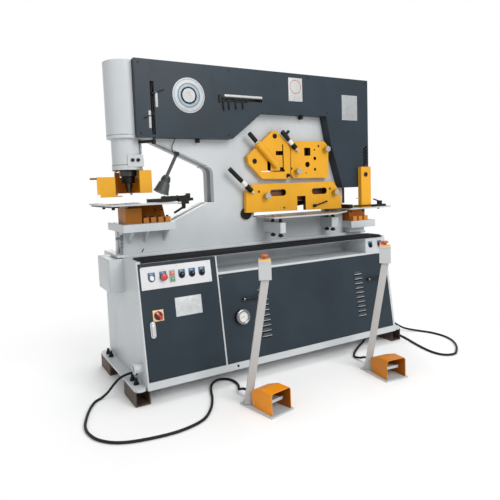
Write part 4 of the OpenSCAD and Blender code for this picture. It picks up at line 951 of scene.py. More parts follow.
def mushroom(name: str, seat: Matrix, base: float, kit: Kit) -> None:
    """An emergency stop in place of its node: neck, crowned head and grip flutes.

    Args:
        name: The node and body that it stands for.
        seat: The panel's surface, local Z outwards.
        base: Height of the collar over the surface.
        kit: The head's finish.
    """
    made = Maker(name + "_head", name, "red_plastic")
    made.turned([(5, -18), (5, base + 7)], seat, Kit.BLACK, 16)
    made.turned([(9.2, base + 6), (9.8, base + 7), (9.8, base + 14)], seat, kit)
    corners, flute = 48, 0.45
    made.stack([[(*polar(radius - dip * (k % 2), math.tau * k / corners), base + height)
                 for k in range(corners)]
                for radius, height, dip in (
                    (11, 12.8, 0), (17.6, 13.6, 0), (19.4, 15.0, flute), (20, 17.4, flute),
                    (19.8, 20.0, flute), (18.6, 22.6, 0), (15.5, 25.0, 0), (11.0, 26.4, 0),
                    (6.0, 26.9, 0), (1.0, 27.0, 0))], seat, kit)
    made.close(24, True)


def selector(name: str, seat: Matrix) -> None:
    """A rotary selector in place of its node: skirt, waisted grip and white index line.

    Args:
        name: The node and body that it stands for.
        seat: The panel's surface, local Z outwards.
    """
    made = Maker(name + "_knob", name, "black_plastic")
    made.turned([(5, -18), (5, 3)], seat, Kit.BLACK, 16)
    made.turned([(10.4, 1), (10.5, 7.4), (9.8, 8.8), (8.8, 9.2)], seat, Kit.BLACK, 32)
    grip = [(-3.6, -10.2), (3.6, -10.2), (2.7, 0), (3.6, 10.2), (-3.6, 10.2), (-2.7, 0)]
    made.pressed(grip, 8.6, seat @ at(0, 0, 8.6), Kit.BLACK, 0.8)
    made.pressed(panel(1.5, 8.5, 0.6, 2), 0.3, seat @ at(0, 5.2, 17.1), Kit.WHITE_PLASTIC, 0.1)
    made.close(28, True)


def cap_button(name: str, slot: str, seat: Matrix, kit: Kit, square: bool) -> None:
    """A push-button cap in place of its node.

    Args:
        name: The node and body that it stands for.
        slot: The record's material slot.
        seat: The control plate's surface, local Z outwards.
        kit: The cap's finish.
        square: Whether the cap is square.
    """
    made = Maker(name + "_cap", name, slot)
    made.turned([(5, -20), (5, 5)], seat, Kit.BLACK, 16)
    if square:
        made.pressed(panel(20.6, 20.6, 2.2), 5.8, seat @ at(0, 0, 5), kit, 1.1)
        made.pressed(panel(11, 1.8, 0.8, 2), 0.25, seat @ at(0, 0, 10.8), Kit.WHITE_PLASTIC, 0.1)
    else:
        made.turned([(10.9, 5), (11, 11), (10.2, 12.6), (8.6, 12.9), (7.6, 12.2), (1, 11.9)],
                    seat, kit, 36)
    made.close(28, True)


@dataclass
class ControlPanel:
    """White control plate on the electrics door, and everything below it."""

    dials: tuple[float, ...] = (-822, -757, -705, -649, -588, -528)
    row: float = 655
    face: float = 2.0
    switch: Pair = (-806, 457)
    lock: Pair = (-842, 336)
    data_plate: Pair = (-626, 434)
    screws: tuple[Pair, ...] = (
        (-869, 606), (-869, 709), (-675.5, 709), (-482, 606), (-482, 709))

    def build(self) -> None:
        """Makes the panel's controls and its plates."""
        made = Maker("door_plates", "electrics_door", "white_plastic")
        white, stop, double, *selectors = (slope(x, self.row, self.face) for x in self.dials)
        single = [white, stop, *selectors]
        made.pressed(legend(40, 31), 1.0, single, Kit.PLATE_BLUE, 0.3)
        for size, y in (((20, 2.0, 0.8, 2), 24.5), ((13, 1.6, 0.7, 2), 20.6)):
            made.pressed(panel(*size), 0.25, [s @ at(0, y, 1.0) for s in single], Kit.LABEL, 0.1)
        bezel = [(14.6, 0.9), (14.6, 3.6), (13.8, 6.2), (12.6, 6.5), (12.2, 5.6)]
        made.turned(bezel, white, Kit.CHROME, 36)
        made.turned(bezel, single[1:], Kit.BLACK, 36)
        made.pressed(panel(33, 68, 3), 1.0, double, Kit.GREY_PLASTIC, 0.3)
        made.turned(PANEL_SCREW, [slope(x, z, self.face) for x, z in self.screws],
                    Kit.CHROME, 16)
        self._below(made)
        made.close()
        cap_button("white_button", "white_plastic", white, Kit.WHITE_PLASTIC, False)
        for name, colour, kit, side in (("stop", "red", Kit.RED_CAP, 1),
                                        ("start", "green", Kit.GREEN, -1)):
            cap_button(f"{name}_button", f"{colour}_plastic",
                       slope(self.dials[2], self.row + 15 * side, self.face), kit, True)
        mushroom("panel_estop", slope(self.dials[1], self.row), self.face + 1, Kit.RED)
        for name, seat in zip(("left", "middle", "right"), selectors):
            selector("selector_" + name, seat)
        self._switch()
        self._lock()

    def _below(self, made: Maker) -> None:
        """Switch plate, data plate with ruled lines, lock body and door screws.

        Args:
            made: The piece that takes them.
        """
        square = slope(*self.switch, 3)
        made.pressed(panel(58, 58, 4), 1.2, square, Kit.SWITCH_ORANGE, 0.5)
        made.turned([(24, 1.2), (23.6, 2.2), (22, 2.4)], square, Kit.BLACK, 40)
        made.socket_head(grid(square, (-24, 24), (-24, 24), 1.2), 2.4, 1.2, Kit.CHROME)
        data = slope(*self.data_plate) @ at(0, 51.5, 2.0)
        made.pressed(panel(151, 98, 3), 0.5, data @ at(0, 0, -0.5), Kit.DOOR_PLATE, 0.2)
        for k, width in enumerate((54, 96, 84, 110, 70, 102, 88)):
            made.pressed(panel(width, 1.9, 0.7, 2), 0.2, data @ at(8, 32 - 10.5 * k, 0),
                         Kit.GREY_PLASTIC, 0.1)
        made.turned([(2.2, 0), (2.0, 1.0), (1.0, 1.4)], grid(data, (-71, 71), (-45, 45)),
                    Kit.CHROME, 12)
        made.pressed(panel(29, 88, 14, 8), 1.4, slope(*self.lock) @ at(0, 51, 3),
                     Kit.LIGHT_GREY, 0.6)
        made.turned([(4.2, 0), (4.0, 1.6), (2.4, 2.4)],
                    [slope(x, z) for x in (-880, -452) for z in (135, 715)], Kit.BLACK_STEEL, 16)

    def _switch(self) -> None:
        """The red main switch in place of its node."""
        seat = slope(*self.switch)
        made = Maker("main_switch_knob", "main_switch", "red_plastic")
        made.turned([(5, -18), (5, 6)], seat, Kit.BLACK, 16)
        made.turned([(21.5, 5.5), (22, 8), (21.4, 10.6), (19.5, 11.6)], seat, Kit.DARK_RED, 40)
        grip = [(-7.5, -23), (-4, -24.5), (4, -24.5), (7.5, -23), (5.6, 0), (7.5, 23), (4, 24.5),
                (-4, 24.5), (-7.5, 23), (-5.6, 0)]
        turned = seat @ at(0, 0, 11.2, turn(z=38))
        made.pressed(grip, 13.6, turned, Kit.RED, 1.8)
        made.pressed(panel(2.2, 12, 0.9, 2), 0.3, turned @ at(0, 13, 13.6), Kit.WHITE_PLASTIC, 0.1)
        made.close(28, True)

    def _lock(self) -> None:
        """The swing-handle lock in place of its node."""
        made = Maker("door_lock_handle", "door_lock", "bright_steel")
        seat = slope(self.lock[0], self.lock[1] + 84)
        made.turned([(5, -14), (5, 5)], seat, Kit.BLACK, 16)
        made.pressed(panel(17.6, 76, 8.7, 8), 6.4, seat @ at(0, -30, 4.6), Kit.CHROME, 1.8)
        made.turned([(5.6, 0), (5.4, 0.8), (3.2, 0.9), (3.0, 0.3)], seat @ at(0, 0, 11),
                    Kit.STEEL, 24)
        made.pressed(panel(10, 38, 1), 4, seat @ at(0, -13, -18), Kit.STEEL, 0.4)
        made.close(28, True)


@dataclass
class ControlCorner:
    """Selector and emergency stop on the cabinet's upper right corner."""

    selector_x: float = 760
    stop_x: float = 845
    row: float = 690

    def build(self) -> None:
        """Makes both controls and their blue legends."""
        made = Maker("corner_legends", "machine", "white_plastic")
        seats = [slope(x, self.row) for x in (self.selector_x, self.stop_x)]
        made.pressed(legend(38, 27), 1.0, seats, Kit.PLATE_BLUE, 0.3)
        made.pressed(panel(22, 2.0, 0.8, 2), 0.25, [s @ at(0, 22, 1.0) for s in seats],
                     Kit.LABEL, 0.1)
        made.turned(PANEL_SCREW, [slope(x, z) for x in (722, 890) for z in (652, 736)],
                    Kit.CHROME, 16)
        made.close()
        selector("box_selector", seats[0])
        mushroom("box_estop", seats[1], 1, Kit.RED)


# ------------ cabinet


@dataclass
class LouvredCover:
    """Lift-off front cover: two columns of pressed louvres, two bow handles and fasteners."""

    columns: Pair = (-178, 583)
    rows: int = 10
    first: float = 232
    pitch: float = 30.5
    width: float = 61
    deep: float = 8.0
    tall: float = 19.0
    handles: tuple[Pair, ...] = ((-285, 470), (690, 464))

    def build(self) -> None:
        """Makes everything that lifts off with the cover."""
        made = Maker("cover_louvres", "louvred_cover", "anthracite")
        self._louvres(made, [slope(x, self.first + self.pitch * k)
                             for x in self.columns for k in range(self.rows)])
        seats = [slope(x, z) for x in (-412, 222, 868) for z in (136, 612)]
        made.turned([(6.4, 0), (6.2, 1.8), (4.4, 2.6)], seats, Kit.BLACK_STEEL, 24)
        made.pressed(panel(7, 1.4, 0.4, 2), 0.3, [s @ at(0, 0, 2.6) for s in seats],
                     Kit.STEEL, 0.1)
        made.close()
        self._handles()

    def _louvres(self, made: Maker, seats: list[Matrix]) -> None:
        """Pressed hoods over their slits: quarter-round awnings open below, with painted light on
        the hoods, a painted highlight along each lip and painted shade in the slits.

        Args:
            made: The piece that takes them.
            seats: Their places.
        """
        length, steps, last = self.width + 6, 6, 12

        def swell(share: float) -> float:
            """How far the hood has risen from its ends, up to 1."""
            return min(1.0, 5.2 * min(share, 1 - share)) ** 0.5

        rings = []
        for k in range(last + 1):
            x, end = -3 + length * k / last, swell(k / last)
            loop = [(x, self.tall * 0.5 * end + 1.0, 0.02),
                    (x, 1.0, (self.deep - 1.3) * end + 0.02)]
            for j in range(steps, -1, -1):
                rise, out = polar(1, math.pi / 2 * j / steps)
                loop.append((x, 1.2 + self.tall * rise * (0.55 + 0.45 * end) * end,
                             self.deep * out * end + 0.05))
            rings.append(loop)
        # The hoods are lighter than the cover: painted light.
        made.stack(rings, seats, Kit.LOUVRE_LIT)
        # A bright rod along each hood's edge: painted highlight.
        lip = [(-2 + length * k / 8, 1.0, self.deep * swell(k / 8)) for k in range(9)]
        for seat in seats:
            made.rod(lip, 1.9, Kit.LOUVRE_LIP_HIGHLIGHT, 8, seat)
        # Near-black plates in the slits: painted shade.
        made.pressed(panel(self.width, 8.6, 0.6, 2), 0.3,
                     [s @ at(self.width / 2, -4.6, 0) for s in seats], Kit.SLIT_SHADE, 0.1)

    def _handles(self) -> None:
        """The bow handles' grip sleeves, end caps and feet."""
        made = Maker("cover_handles", "louvred_cover", "black_plastic")
        path = [(-4, 0, 26), (4, 0, 26.4), (40, 0, 27), (84, 0, 27), (120, 0, 26.4), (128, 0, 26)]
        for seat in (slope(*handle) for handle in self.handles):
            made.rod(path, 8.6, Kit.BLACK, 18, seat)
            made.turned([(8.8, -1.5), (9.2, 0), (8.8, 1.5), (5, 2.4)],
                        [seat @ at(62 + 66.5 * d, 0, 26, turn(y=90 * d)) for d in ENDS],
                        Kit.CHROME, 24)
            made.turned([(9.5, 0), (9.2, 2.0), (7.2, 3.4), (6.6, 18)], grid(seat, (6, 118), (0,)),
                        Kit.BLACK, 24)
        made.close(40)


@dataclass
class PressureGauge:
    """Round gauge that stands behind its hole in the louvred cover."""

    x: float = -306
    z: float = 371
    radius: float = 43

    def build(self) -> None:
        """Makes the bezel, dial, scale and needle."""
        made = Maker("pressure_gauge", "machine", "bright_steel")
        seat, r = slope(self.x, self.z), self.radius
        made.turned([(r, 0), (r + 0.3, 24), (r - 1.6, 27.6), (r - 6, 28.8), (r - 10, 27.2),
                     (r - 13.6, 24.0), (r - 14.2, 21.6)], seat, Kit.BEZEL, 56)
        made.turned([(r + 0.4, 20), (r + 0.9, 21), (r + 0.9, 25), (r + 0.2, 26.4)], seat,
                    Kit.CHROME, 56, True)
        made.turned([(r - 14, 22.6), (r - 14, 23.2), (1, 23.3)], seat, Kit.DIAL, 56)
        face = seat @ at(0, 0, 23.4)
        marks, start, sweep = 40, 225, 270
        for k in range(marks + 1):
            reach, wide = (6.0, 1.1) if k % 5 == 0 else (3.4, 0.6)
            made.pressed(panel(reach, wide, 0.2, 1), 0.15,
                         face @ turn(z=start - sweep * k / marks) @ at(r - 16 - reach / 2, 0, 0),
                         Kit.LABEL_INK, 0.05)
        arc = [(*polar(r - 15, math.radians(start - 6 * k)), 0.3) for k in range(11)]
        made.rod(arc, 0.7, Kit.RED, 6, face)
        needle = [(-8, -1.6), (-8, 1.6), (19, 0.35), (19, -0.35)]
        made.pressed(needle, 0.6, face @ at(0, 0, 1.6, turn(z=205)), Kit.BLACK, 0.15)
        made.turned([(3.6, 0), (3.4, 2.6), (1.5, 3.0)], face, Kit.CHROME, 20)
        made.close(30)


@dataclass
class CabinetBody:
    """Mat, service panels and fittings of the welded cabinet."""

    half: float = 900
    back: float = 390
    top: float = 748
    lip_y: float = -285
    gland: Pair = (-190, 122)
    pipe: Pair = (-300, 182)
    mat: Pair = (1748, 138)

    def build(self) -> None:
        """Makes the mat on top, the side fittings and the rear panels."""
        self._mat()
        self._left_side()
        made = Maker("right_fittings", "machine", "frame_grey")
        door = flank(self.half, 60, 400)
        made.pressed(panel(460, 470, 8), 2.2, door, Kit.LIGHT_GREY, 0.8)
        self._vents(made, door, 8, -120, 2.6, 2.0, 1.0)
        made.turned(SIDE_SCREW, grid(door, (-215, 215), (-220, 0, 220), 2.2), Kit.BLACK_STEEL, 16)
        self._gland(made, self.half)
        made.close()
        self._rear()

    def _mat(self) -> None:
        """Dark ribbed mat along the front of the top, with its front edge strip."""
        made = Maker("top_mat", "machine", "cable_rubber")
        # A black disc in the small hole low on the leaning front, so that it reads dark: painted
        # shade.
        made.turned([(5.6, -3), (7.4, 0.2), (7.2, 1.4), (5.2, 2.0)], slope(-362, 100),
                    Kit.BLACK, 24)
        length, deep = self.mat
        mid, x = (self.lip_y - deep) / 2, -2
        made.pressed(panel(length, deep, 16, 6), 8, at(x, mid - 3, self.top + 0.2), Kit.MAT, 2.0)
        made.pressed(panel(length - 4, 9, 1), 10, at(x, self.lip_y - 3.5, self.top - 8),
                     Kit.MAT, 1.0)
        made.pressed(panel(length - 40, 4, 1.5, 2), 1.2,
                     [at(x, mid - 54 + 12.5 * k, self.top + 8) for k in range(9)], Kit.MAT, 0.5)
        made.close()

    def _left_side(self) -> None:
        """Lid and screws of the wiring box, gland nut and pipe collar."""
        made = Maker("left_fittings", "machine", "frame_grey")
        lid, stub = flank(-self.half - 80, 83.5, 646), flank(-self.half, *self.pipe)
        made.pressed(panel(254, 182, 4), 2.4, lid, Kit.LIGHT_GREY, 0.8)
        made.turned([(4.6, 0), (4.4, 1.6), (2.8, 2.4)], grid(lid, (-117, 117), (-81, 81), 2.4),
                    Kit.CHROME, 16)
        made.turned([(30, 0), (30, 8), (28, 10), (26, 10)], stub, Kit.LIGHT_GREY, 36)
        made.turned([(27.5, 40), (28.6, 42), (28.6, 47), (27.5, 48.4), (21, 48.4), (20, 46),
                     (20, 14)], stub, Kit.LIGHT_GREY, 36)
        self._gland(made, -self.half)
        made.turned(SIDE_SCREW, [flank(-self.half, y, z) for y, z in (
            (-330, 110), (330, 110), (-250, 520), (330, 700))], Kit.STEEL, 16)
        made.close()

    def _gland(self, made: Maker, x: float) -> None:
        """A cable gland on an end face: hexagon, dome nut and rubber lip.

        Args:
            made: The piece that takes it.
            x: The end face.
        """
        seat = flank(x, *self.gland)
        made.bolt(seat @ at(0, 0, 0.2), 17.5, 8, Kit.BLACK)
        made.turned([(14, 8), (14.4, 16), (12.6, 21), (9.0, 24.4), (7.2, 24.8)], seat,
                    Kit.BLACK, 30)

    def _vents(self, made: Maker, seat: Matrix, count: int, first: float, depth: float,
               lift: float, edge: float) -> None:
        """A column of pressed vents over slits filled with painted shade.

        Args:
            made: The piece that takes them.
            seat: The panel's place.
            count: How many.
            first: The lowest vent's height from the panel's middle.
            depth: How far a vent stands out.
            lift: Its foot over the seat.
            edge: Its broken edge.
        """
        rows = [seat @ at(0, first + 20 * k, lift) for k in range(count)]
        made.pressed(panel(150, 7, 3, 3), depth, rows, Kit.LIGHT_GREY, edge)
        made.pressed(panel(144, 3.4, 1.4, 2), 0.3, [row @ at(0, -6, 0.2) for row in rows],
                     Kit.PAINTED_SHADE, 0.1)

    def _rear(self) -> None:
        """Two screwed rear panels with vents."""
        made = Maker("rear_panels", "machine", "frame_grey")
        for x in (-440, 440):
            seat = at(x, self.back, 420, turn(z=180) @ turn(90))
            made.pressed(panel(800, 560, 10), 2.3, seat @ at(0, 0, -0.3), Kit.LIGHT_GREY, 0.6)
            self._vents(made, seat, 9, -190, 2.0, 1.8, 0.8)
            made.turned(SIDE_SCREW, [*grid(seat, (-382, 382), (-262, 0, 262), 2.0),
                                     *grid(seat, (0,), (-262, 262), 2.0)], Kit.BLACK_STEEL, 16)
        made.close()


# ------------ head and stations


HOLDDOWN_BOLTS = ((141, 1450), (-19, 1287), (240, 1187))
TABLE_BOLTS = ((80, -200), (80, -110), (570, -125), (570, -60))


@dataclass
class HeadPlates:
    """Badge disc, plates, scales and small parts on the head cover."""

    face: float = -100.0
    badge: Pair = (-472, 1671)
    round_plate: Pair = (294.5, 1753)
    table: Pair = (762, 1656)
    scales: tuple[Triple, ...] = ((-671, 1595, 1680), (-715, 1476, 1573))
    screws: tuple[Pair, ...] = (
        (-770, 1446), (-770, 1836), (-200, 1836), (400, 1836), (912, 1836), (912, 1120),
        (712, 1120), (-215, 1446), (560, 1612))

    def build(self) -> None:
        """Makes every plate and fastener of the cover."""
        made = Maker("head_plates", "machine", "anthracite")
        proud = self.face - 1.5
        badge, plate, table = (front(x, y, z) for y, (x, z) in (
            (self.face - 2, self.badge), (proud, self.round_plate), (proud, self.table)))
        made.turned([(101.5, 0), (101, 0.8), (99, 1.1), (1, 1.1)], badge, Kit.LABEL, 72)
        for outer, inner in ((94, 91), (72, 62), (56, 54.5), (42, 1)):
            self._ring(made, badge @ at(0, 0, 1.1), outer, inner, Kit.BADGE_BLUE)
        self._ring(made, badge @ at(0, 0, 1.35), 39.5, 1, Kit.LABEL)
        made.pressed(panel(109, 150, 3), 0.5, plate, Kit.LABEL, 0.2)
        self._ring(made, plate @ at(0, 18, 0.5), 45, 41, Kit.DULL_RED)
        for k, width in enumerate((76, 64, 82, 58)):
            made.pressed(panel(width, 2.0, 0.8, 2), 0.2, plate @ at(0, -40 - 8 * k, 0.5),
                         Kit.GREY_PLASTIC, 0.1)
        self._table(made, table)
        for x, low, high in self.scales:
            self._scale(made, front(x, proud, (low + high) / 2), high - low)
        made.pressed(panel(268, 12, 1.5), 1.6, front(-101, proud, 1685), Kit.LABEL, 0.4)
        # Slits at the cover's right edge, filled with painted shade.
        made.pressed(panel(46, 12.4, 3, 3), 1.0,
                     [front(905, self.face, 1263.7 + 22 * k, 35) for k in range(6)],
                     Kit.SLIT_SHADE, 0.2)
        made.pressed(panel(20, 22, 2), 26, [front(-405, -36, 1412), front(370, -36, 1579)],
                     Kit.BLACK, 1.0)
        made.turned([(5.0, 0), (4.8, 1.6), (3.0, 2.8)],
                    [front(x, self.face, z) for x, z in self.screws], Kit.BLACK_STEEL, 18)
        made.close()
        self._keys()

    def _ring(self, made: Maker, seat: Matrix, outer: float, inner: float, kit: Kit) -> None:
        """A thin flat ring or disc on a plate."""
        made.turned([(inner, 0), (outer, 0), (outer, 0.25), (inner, 0.25)], seat, kit, 72,
                    inner > 1)

    def _table(self, made: Maker, seat: Matrix) -> None:
        """A pale data plate with a plain ruled table.

        Args:
            made: The piece that takes it.
            seat: The plate's middle.
        """
        made.pressed(panel(139, 171, 2), 0.6, seat, Kit.DATA_PLATE, 0.2)
        made.pressed(panel(122, 1.0, 0.4, 1), 0.15,
                     grid(seat, (0,), [12 * k - 72 for k in range(13)], 0.6), Kit.DATA_INK, 0.05)
        made.pressed(panel(1.0, 144, 0.4, 1), 0.15, grid(seat, (-61, -20, 21, 61), (0,), 0.6),
                     Kit.DATA_INK, 0.05)
        made.turned([(2.6, 0), (2.4, 1.0), (1.2, 1.5)], grid(seat, (-65, 65), (-81, 81), 0.6),
                    Kit.STEEL, 12)

    def _scale(self, made: Maker, seat: Matrix, length: float) -> None:
        """A white scale strip with its division lines.

        Args:
            made: The piece that takes it.
            seat: The strip's middle.
            length: Of the strip's place.
        """
        made.pressed(panel(13, length - 2, 1), 0.4, seat, Kit.LABEL, 0.15)
        for k in range(int((length - 8) / 5) + 1):
            reach = 5 if k % 2 else 8
            made.pressed(panel(reach, 0.9, 0.2, 1), 0.12,
                         seat @ at(-6 + reach / 2, 4 - length / 2 + 5 * k, 0.4),
                         Kit.LABEL_INK, 0.04)

    def _keys(self) -> None:
        """Hexagon keys hung on the rack, largest to smallest."""
        made = Maker("hex_keys", "machine", "dark_steel")
        for x, radius, drop in ((-249, 3.1, 58), (-211, 2.7, 50), (-163, 2.4, 44),
                                (-113, 2.1, 38)):
            made.rod([(x, -106, 1658), (x + 1, -107, 1652), (x + 3, -108, 1648 - drop * 0.5),
                      (x + 5, -107.5, 1648 - drop)], radius, Kit.BLACK_STEEL, 6)
            made.rod([(x, -106, 1658), (x + 5, -106, 1662), (x + 20, -106, 1663)], radius,
                     Kit.BLACK_STEEL, 6)
        made.pressed(panel(196, 5, 2), 4, front(-172, -105, 1653), Kit.BLACK, 0.8)
        made.close()


@dataclass
class PunchStation:
    """Small parts of the punch side: pad screws, lamp lead, table ruler, bolts and nipple."""

    x: float = -815
    y: float = 48
    pipe: Pair = (-899, -35)
    table_z: float = 1055

    @property
    def axis(self) -> Matrix:
        """The punch's axis, from the floor up."""
        return at(self.x, self.y, 0)

    def build(self) -> None:
        """Makes the pieces that stand still, then those of the ruler and the ram."""
        made = Maker("punch_fittings", "machine", "dark_steel")
        made.socket_head([front(x, -43, 1300) for x in (-811, -779)], 10, 9)
        made.rod([(-551, -48, 1426), (-556, -50, 1410), (-566, -44, 1388), (-566, -30, 1366),
                  (-552, -14, 1347), (-540, -6, 1340)], 2.6, Kit.RUBBER, 8)
        made.turned([(5, 0), (5, 9), (3.6, 12)], at(-551, -48, 1421), Kit.BLACK, 16)
        made.turned([(5, 0), (5, 5), (2.6, 6.4), (2.2, 10), (3.3, 11.5), (3.3, 13), (1.8, 14.6)],
                    front(-878, -18, 1000), Kit.BRASS, 16)
        made.bolt([at(x, -20, 1044.6, turn(180)) for x in (-880, -800)], 8, 7, washer=10)
        made.socket_head([front(x, -60, 1010) for x in (-700, -660)], 6.5, 2.4)
        made.turned([(7.4, 0), (7.0, 0.5), (4.4, 0.5), (4.2, 0.2)],
                    grid(at(0, 0, self.table_z), (-955, -640), (-40, 250)), Kit.BLACK_STEEL, 18)
        made.turned([(9.5, -6), (9.5, 5), (8, 6)],
                    [at(*self.pipe, z) for z in (806, 826, 848, 866)], Kit.TANK, 6)
        made.turned([(6, -70), (6, 42)], at(*self.pipe, 836), Kit.TANK, 20)
        made.turned([(5, 0), (5, 14), (8, 15), (8, 25), (6, 26)], flank(-905, -35, 858),
                    Kit.TANK, 18)
        # A near-black slot low on the frame's front: painted shade.
        made.pressed(panel(24, 6, 2, 2), 0.5, front(-775, -25.05, 775, 55), Kit.SLIT_SHADE, 0.1)
        # Two small dark panels low on the punch side: painted shade.
        made.pressed(panel(8, 15, 1.5, 2), 0.6, [front(x, -61, 954) for x in (-860, -881)],
                     Kit.PAINTED_SHADE, 0.2)
        made.close()
        self._bands()
        self._ruler()
        self._ram()

    def _bands(self) -> None:
        """Seam rings and foot screws of the cylinder."""
        seams, axis = Maker("cylinder_bands", "machine", "frame_grey"), self.axis
        seams.turned([(88.0, 1243), (89.4, 1244.2), (89.4, 1245.6), (88.0, 1246.6)], axis,
                     Kit.BLACK_STEEL, 72, True)
        for inner, low, kit in ((86, 1273.2, Kit.BLACK_STEEL), (109, 1441.4, Kit.BEZEL)):
            outer, high = inner + 1.8, low + 2.4
            seams.turned([(inner, low), (outer, low), (outer, high), (inner, high)], axis, kit,
                         72, True)
        seams.socket_head([step @ at(71, 0, 1244.6, turn(180)) for step in around(axis, 6, 12)],
                          6.2, 5)
        seams.close()

    def _ruler(self) -> None:
        """Divisions, screws and knob of the table stop."""
        made = Maker("ruler_marks", "table_stop", "bright_steel")
        face = front(-744, -75, 1065)
        for k in range(18):
            reach = 5 if k % 5 else 9
            made.pressed(panel(0.9, reach, 0.2, 1), 0.2, face @ at(3 + 5 * k, 9 - reach / 2, 0),
                         Kit.LABEL_INK, 0.05)
        made.socket_head([at(x, -62, 1086.6) for x in (-640, -560, -510)], 5.4, 3)
        made.turned([(9, 0), (9, 9), (8, 10.5), (3, 10.6)], front(-488, -76, 1062), Kit.BLACK, 20)
        made.close()

    def _ram(self) -> None:
        """Edges and spanner holes of the ram's coupling nut."""
        made = Maker("ram_fittings", "punch_ram", "bright_steel")
        edge = [(38.6, 0), (39.4, 1.4), (39.4, 4), (38.6, 5.4)]
        made.turned(edge, [self.axis @ at(0, 0, z) for z in (1173, 1204)], Kit.BLACK_STEEL,
                    56, True)
        made.turned([(5.2, 0), (5.0, 0.5), (3.8, 0.5), (3.6, 0.1)],
                    [s @ at(38.2, 0, 1191, turn(y=90)) for s in around(self.axis, 8, 10)],
                    Kit.BLACK_STEEL, 16)
        made.close()


@dataclass
class ShearStation:
    """Screws, washers and grips of the three shear hold-downs and their tables."""

    face: float = -70.0
    grip_y: float = -86
    table_z: float = 930
    bracket_z: float = 811
    pivot: Triple = (-74, -39, 951)
    grips: tuple[tuple[str, float, float], ...] = (
        ("angle_screw", 136, 74), ("bar_screw", 134, 72), ("flat_screw", 133, 118))

    def build(self) -> None:
        """Makes the fasteners, the grips and the pivot's ring."""
        made = Maker("shear_fasteners", "machine", "dark_steel")
        made.turned([(16.5, 0), (16.5, 1.8), (15.6, 2.6)],
                    [front(x, self.face, z) for x, z in HOLDDOWN_BOLTS], Kit.BLACK_STEEL)
        made.turned([(9, 0), (8.6, 0.7), (6.2, 0.8), (6.0, -6)],
                    [front(x, self.face, z) for x, z in (
                        (501, 1388), (268, 1236), (6, 1090), (594, 1090))], Kit.BROWN_STEEL, 24)
        made.socket_head(front(200, self.face, 976), 6.4, 3.2)
        made.socket_head([at(x, y, self.table_z) for x, y in TABLE_BOLTS], 8.2, 2)
        made.turned([(16.6, 0), (17, 1), (17, 11), (14, 13), (6, 13.4), (5.4, 17)],
                    [at(x, y, self.bracket_z, turn(180)) for x, y in TABLE_BOLTS],
                    Kit.BLACK_STEEL, 24)
        # A brown plate on the frame behind the flat hold-down's windows: painted shade.
        made.pressed(panel(536, 76, 6), 0.9, front(350, -25.05, 1056), Kit.BROWN_STEEL, 0.3)
        pivot = front(*self.pivot)
        made.turned([(30, 0), (36, 0.6), (36.6, 3), (34.6, 4.2), (30, 4.2)], pivot,
                    Kit.BLACK_STEEL, 48, True)
        made.socket_head([step @ at(0, 18, 0) for step in around(pivot, 6)], 4.4, 3)
        made.close()
        for name, tilt, length in self.grips:
            self._grip(name, tilt, length)

    def _grip(self, name: str, tilt: float, length: float) -> None:
        """Rings pressed round a clamp screw's handle.

        Args:
            name: The screw's node and body.
            tilt: Its turn about Y, in degrees.
            length: Of the grip.
        """
        low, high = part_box(name)
        cap, across, along = 14, *map(abs, polar(1, math.radians(tilt)))
        seat = at(low[0] / MM + cap * across, self.grip_y, high[2] / MM - cap * along,
                  turn(y=tilt))
        made = Maker(name + "_grip", name, "black_plastic")
        made.turned([(9, -0.6), (12.4, -0.2), (14.2, 1.6), (14.6, 4), (14.4, 5)], seat,
                    Kit.BLACK, 32)
        made.turned([(14.0, 0), (14.8, 1.2), (14.8, 3.4), (14.0, 4.6)],
                    [seat @ at(0, 0, 8 + 7 * k) for k in range(int((length - 10) / 7))],
                    Kit.BLACK, 32, True)
        made.close()


@dataclass
class NotchStation:
    """Screws of the notcher's die block, its guard and its table."""

    table_z: float = 946

    def build(self) -> None:
        """Makes the notcher's small parts."""
        made = Maker("notch_fasteners", "machine", "dark_steel")
        made.socket_head([front(x, -87, z) for x in (774, 888) for z in (868, 918)], 7.2, 3)
        made.socket_head([at(x, -66, 1008) for x in (852, 898)], 6.4, 4)
        made.socket_head(front(871, -140, 1183), 17, 4, Kit.DARK_RED)
        made.turned([(6.6, 0), (6.4, 0.5), (4.0, 0.5), (3.8, 0.2)],
                    grid(at(0, 0, self.table_z), (730, 1076), (-140, 180)), Kit.BLACK_STEEL, 18)
        made.close()


@dataclass
class Feet:
    """Paired nuts on the four levelling feet."""

    x: float = 935
    y: float = 262
    apart: float = 34
    plate_z: float = 98.4

    def build(self) -> None:
        """Makes the nuts and the ends of their bolts."""
        made = Maker("foot_nuts", "machine", "dark_steel")
        places = [at(self.x * sx, self.y * sy + self.apart * d, 0)
                  for sx in ENDS for sy in ENDS for d in ENDS]
        made.bolt([place @ at(0, 0, self.plate_z) for place in places], 13.4, 12.4, washer=16)
        made.turned([(7.6, 111), (7.4, 119), (6.6, 121)], places, Kit.BLACK_STEEL, 18)
        made.close()


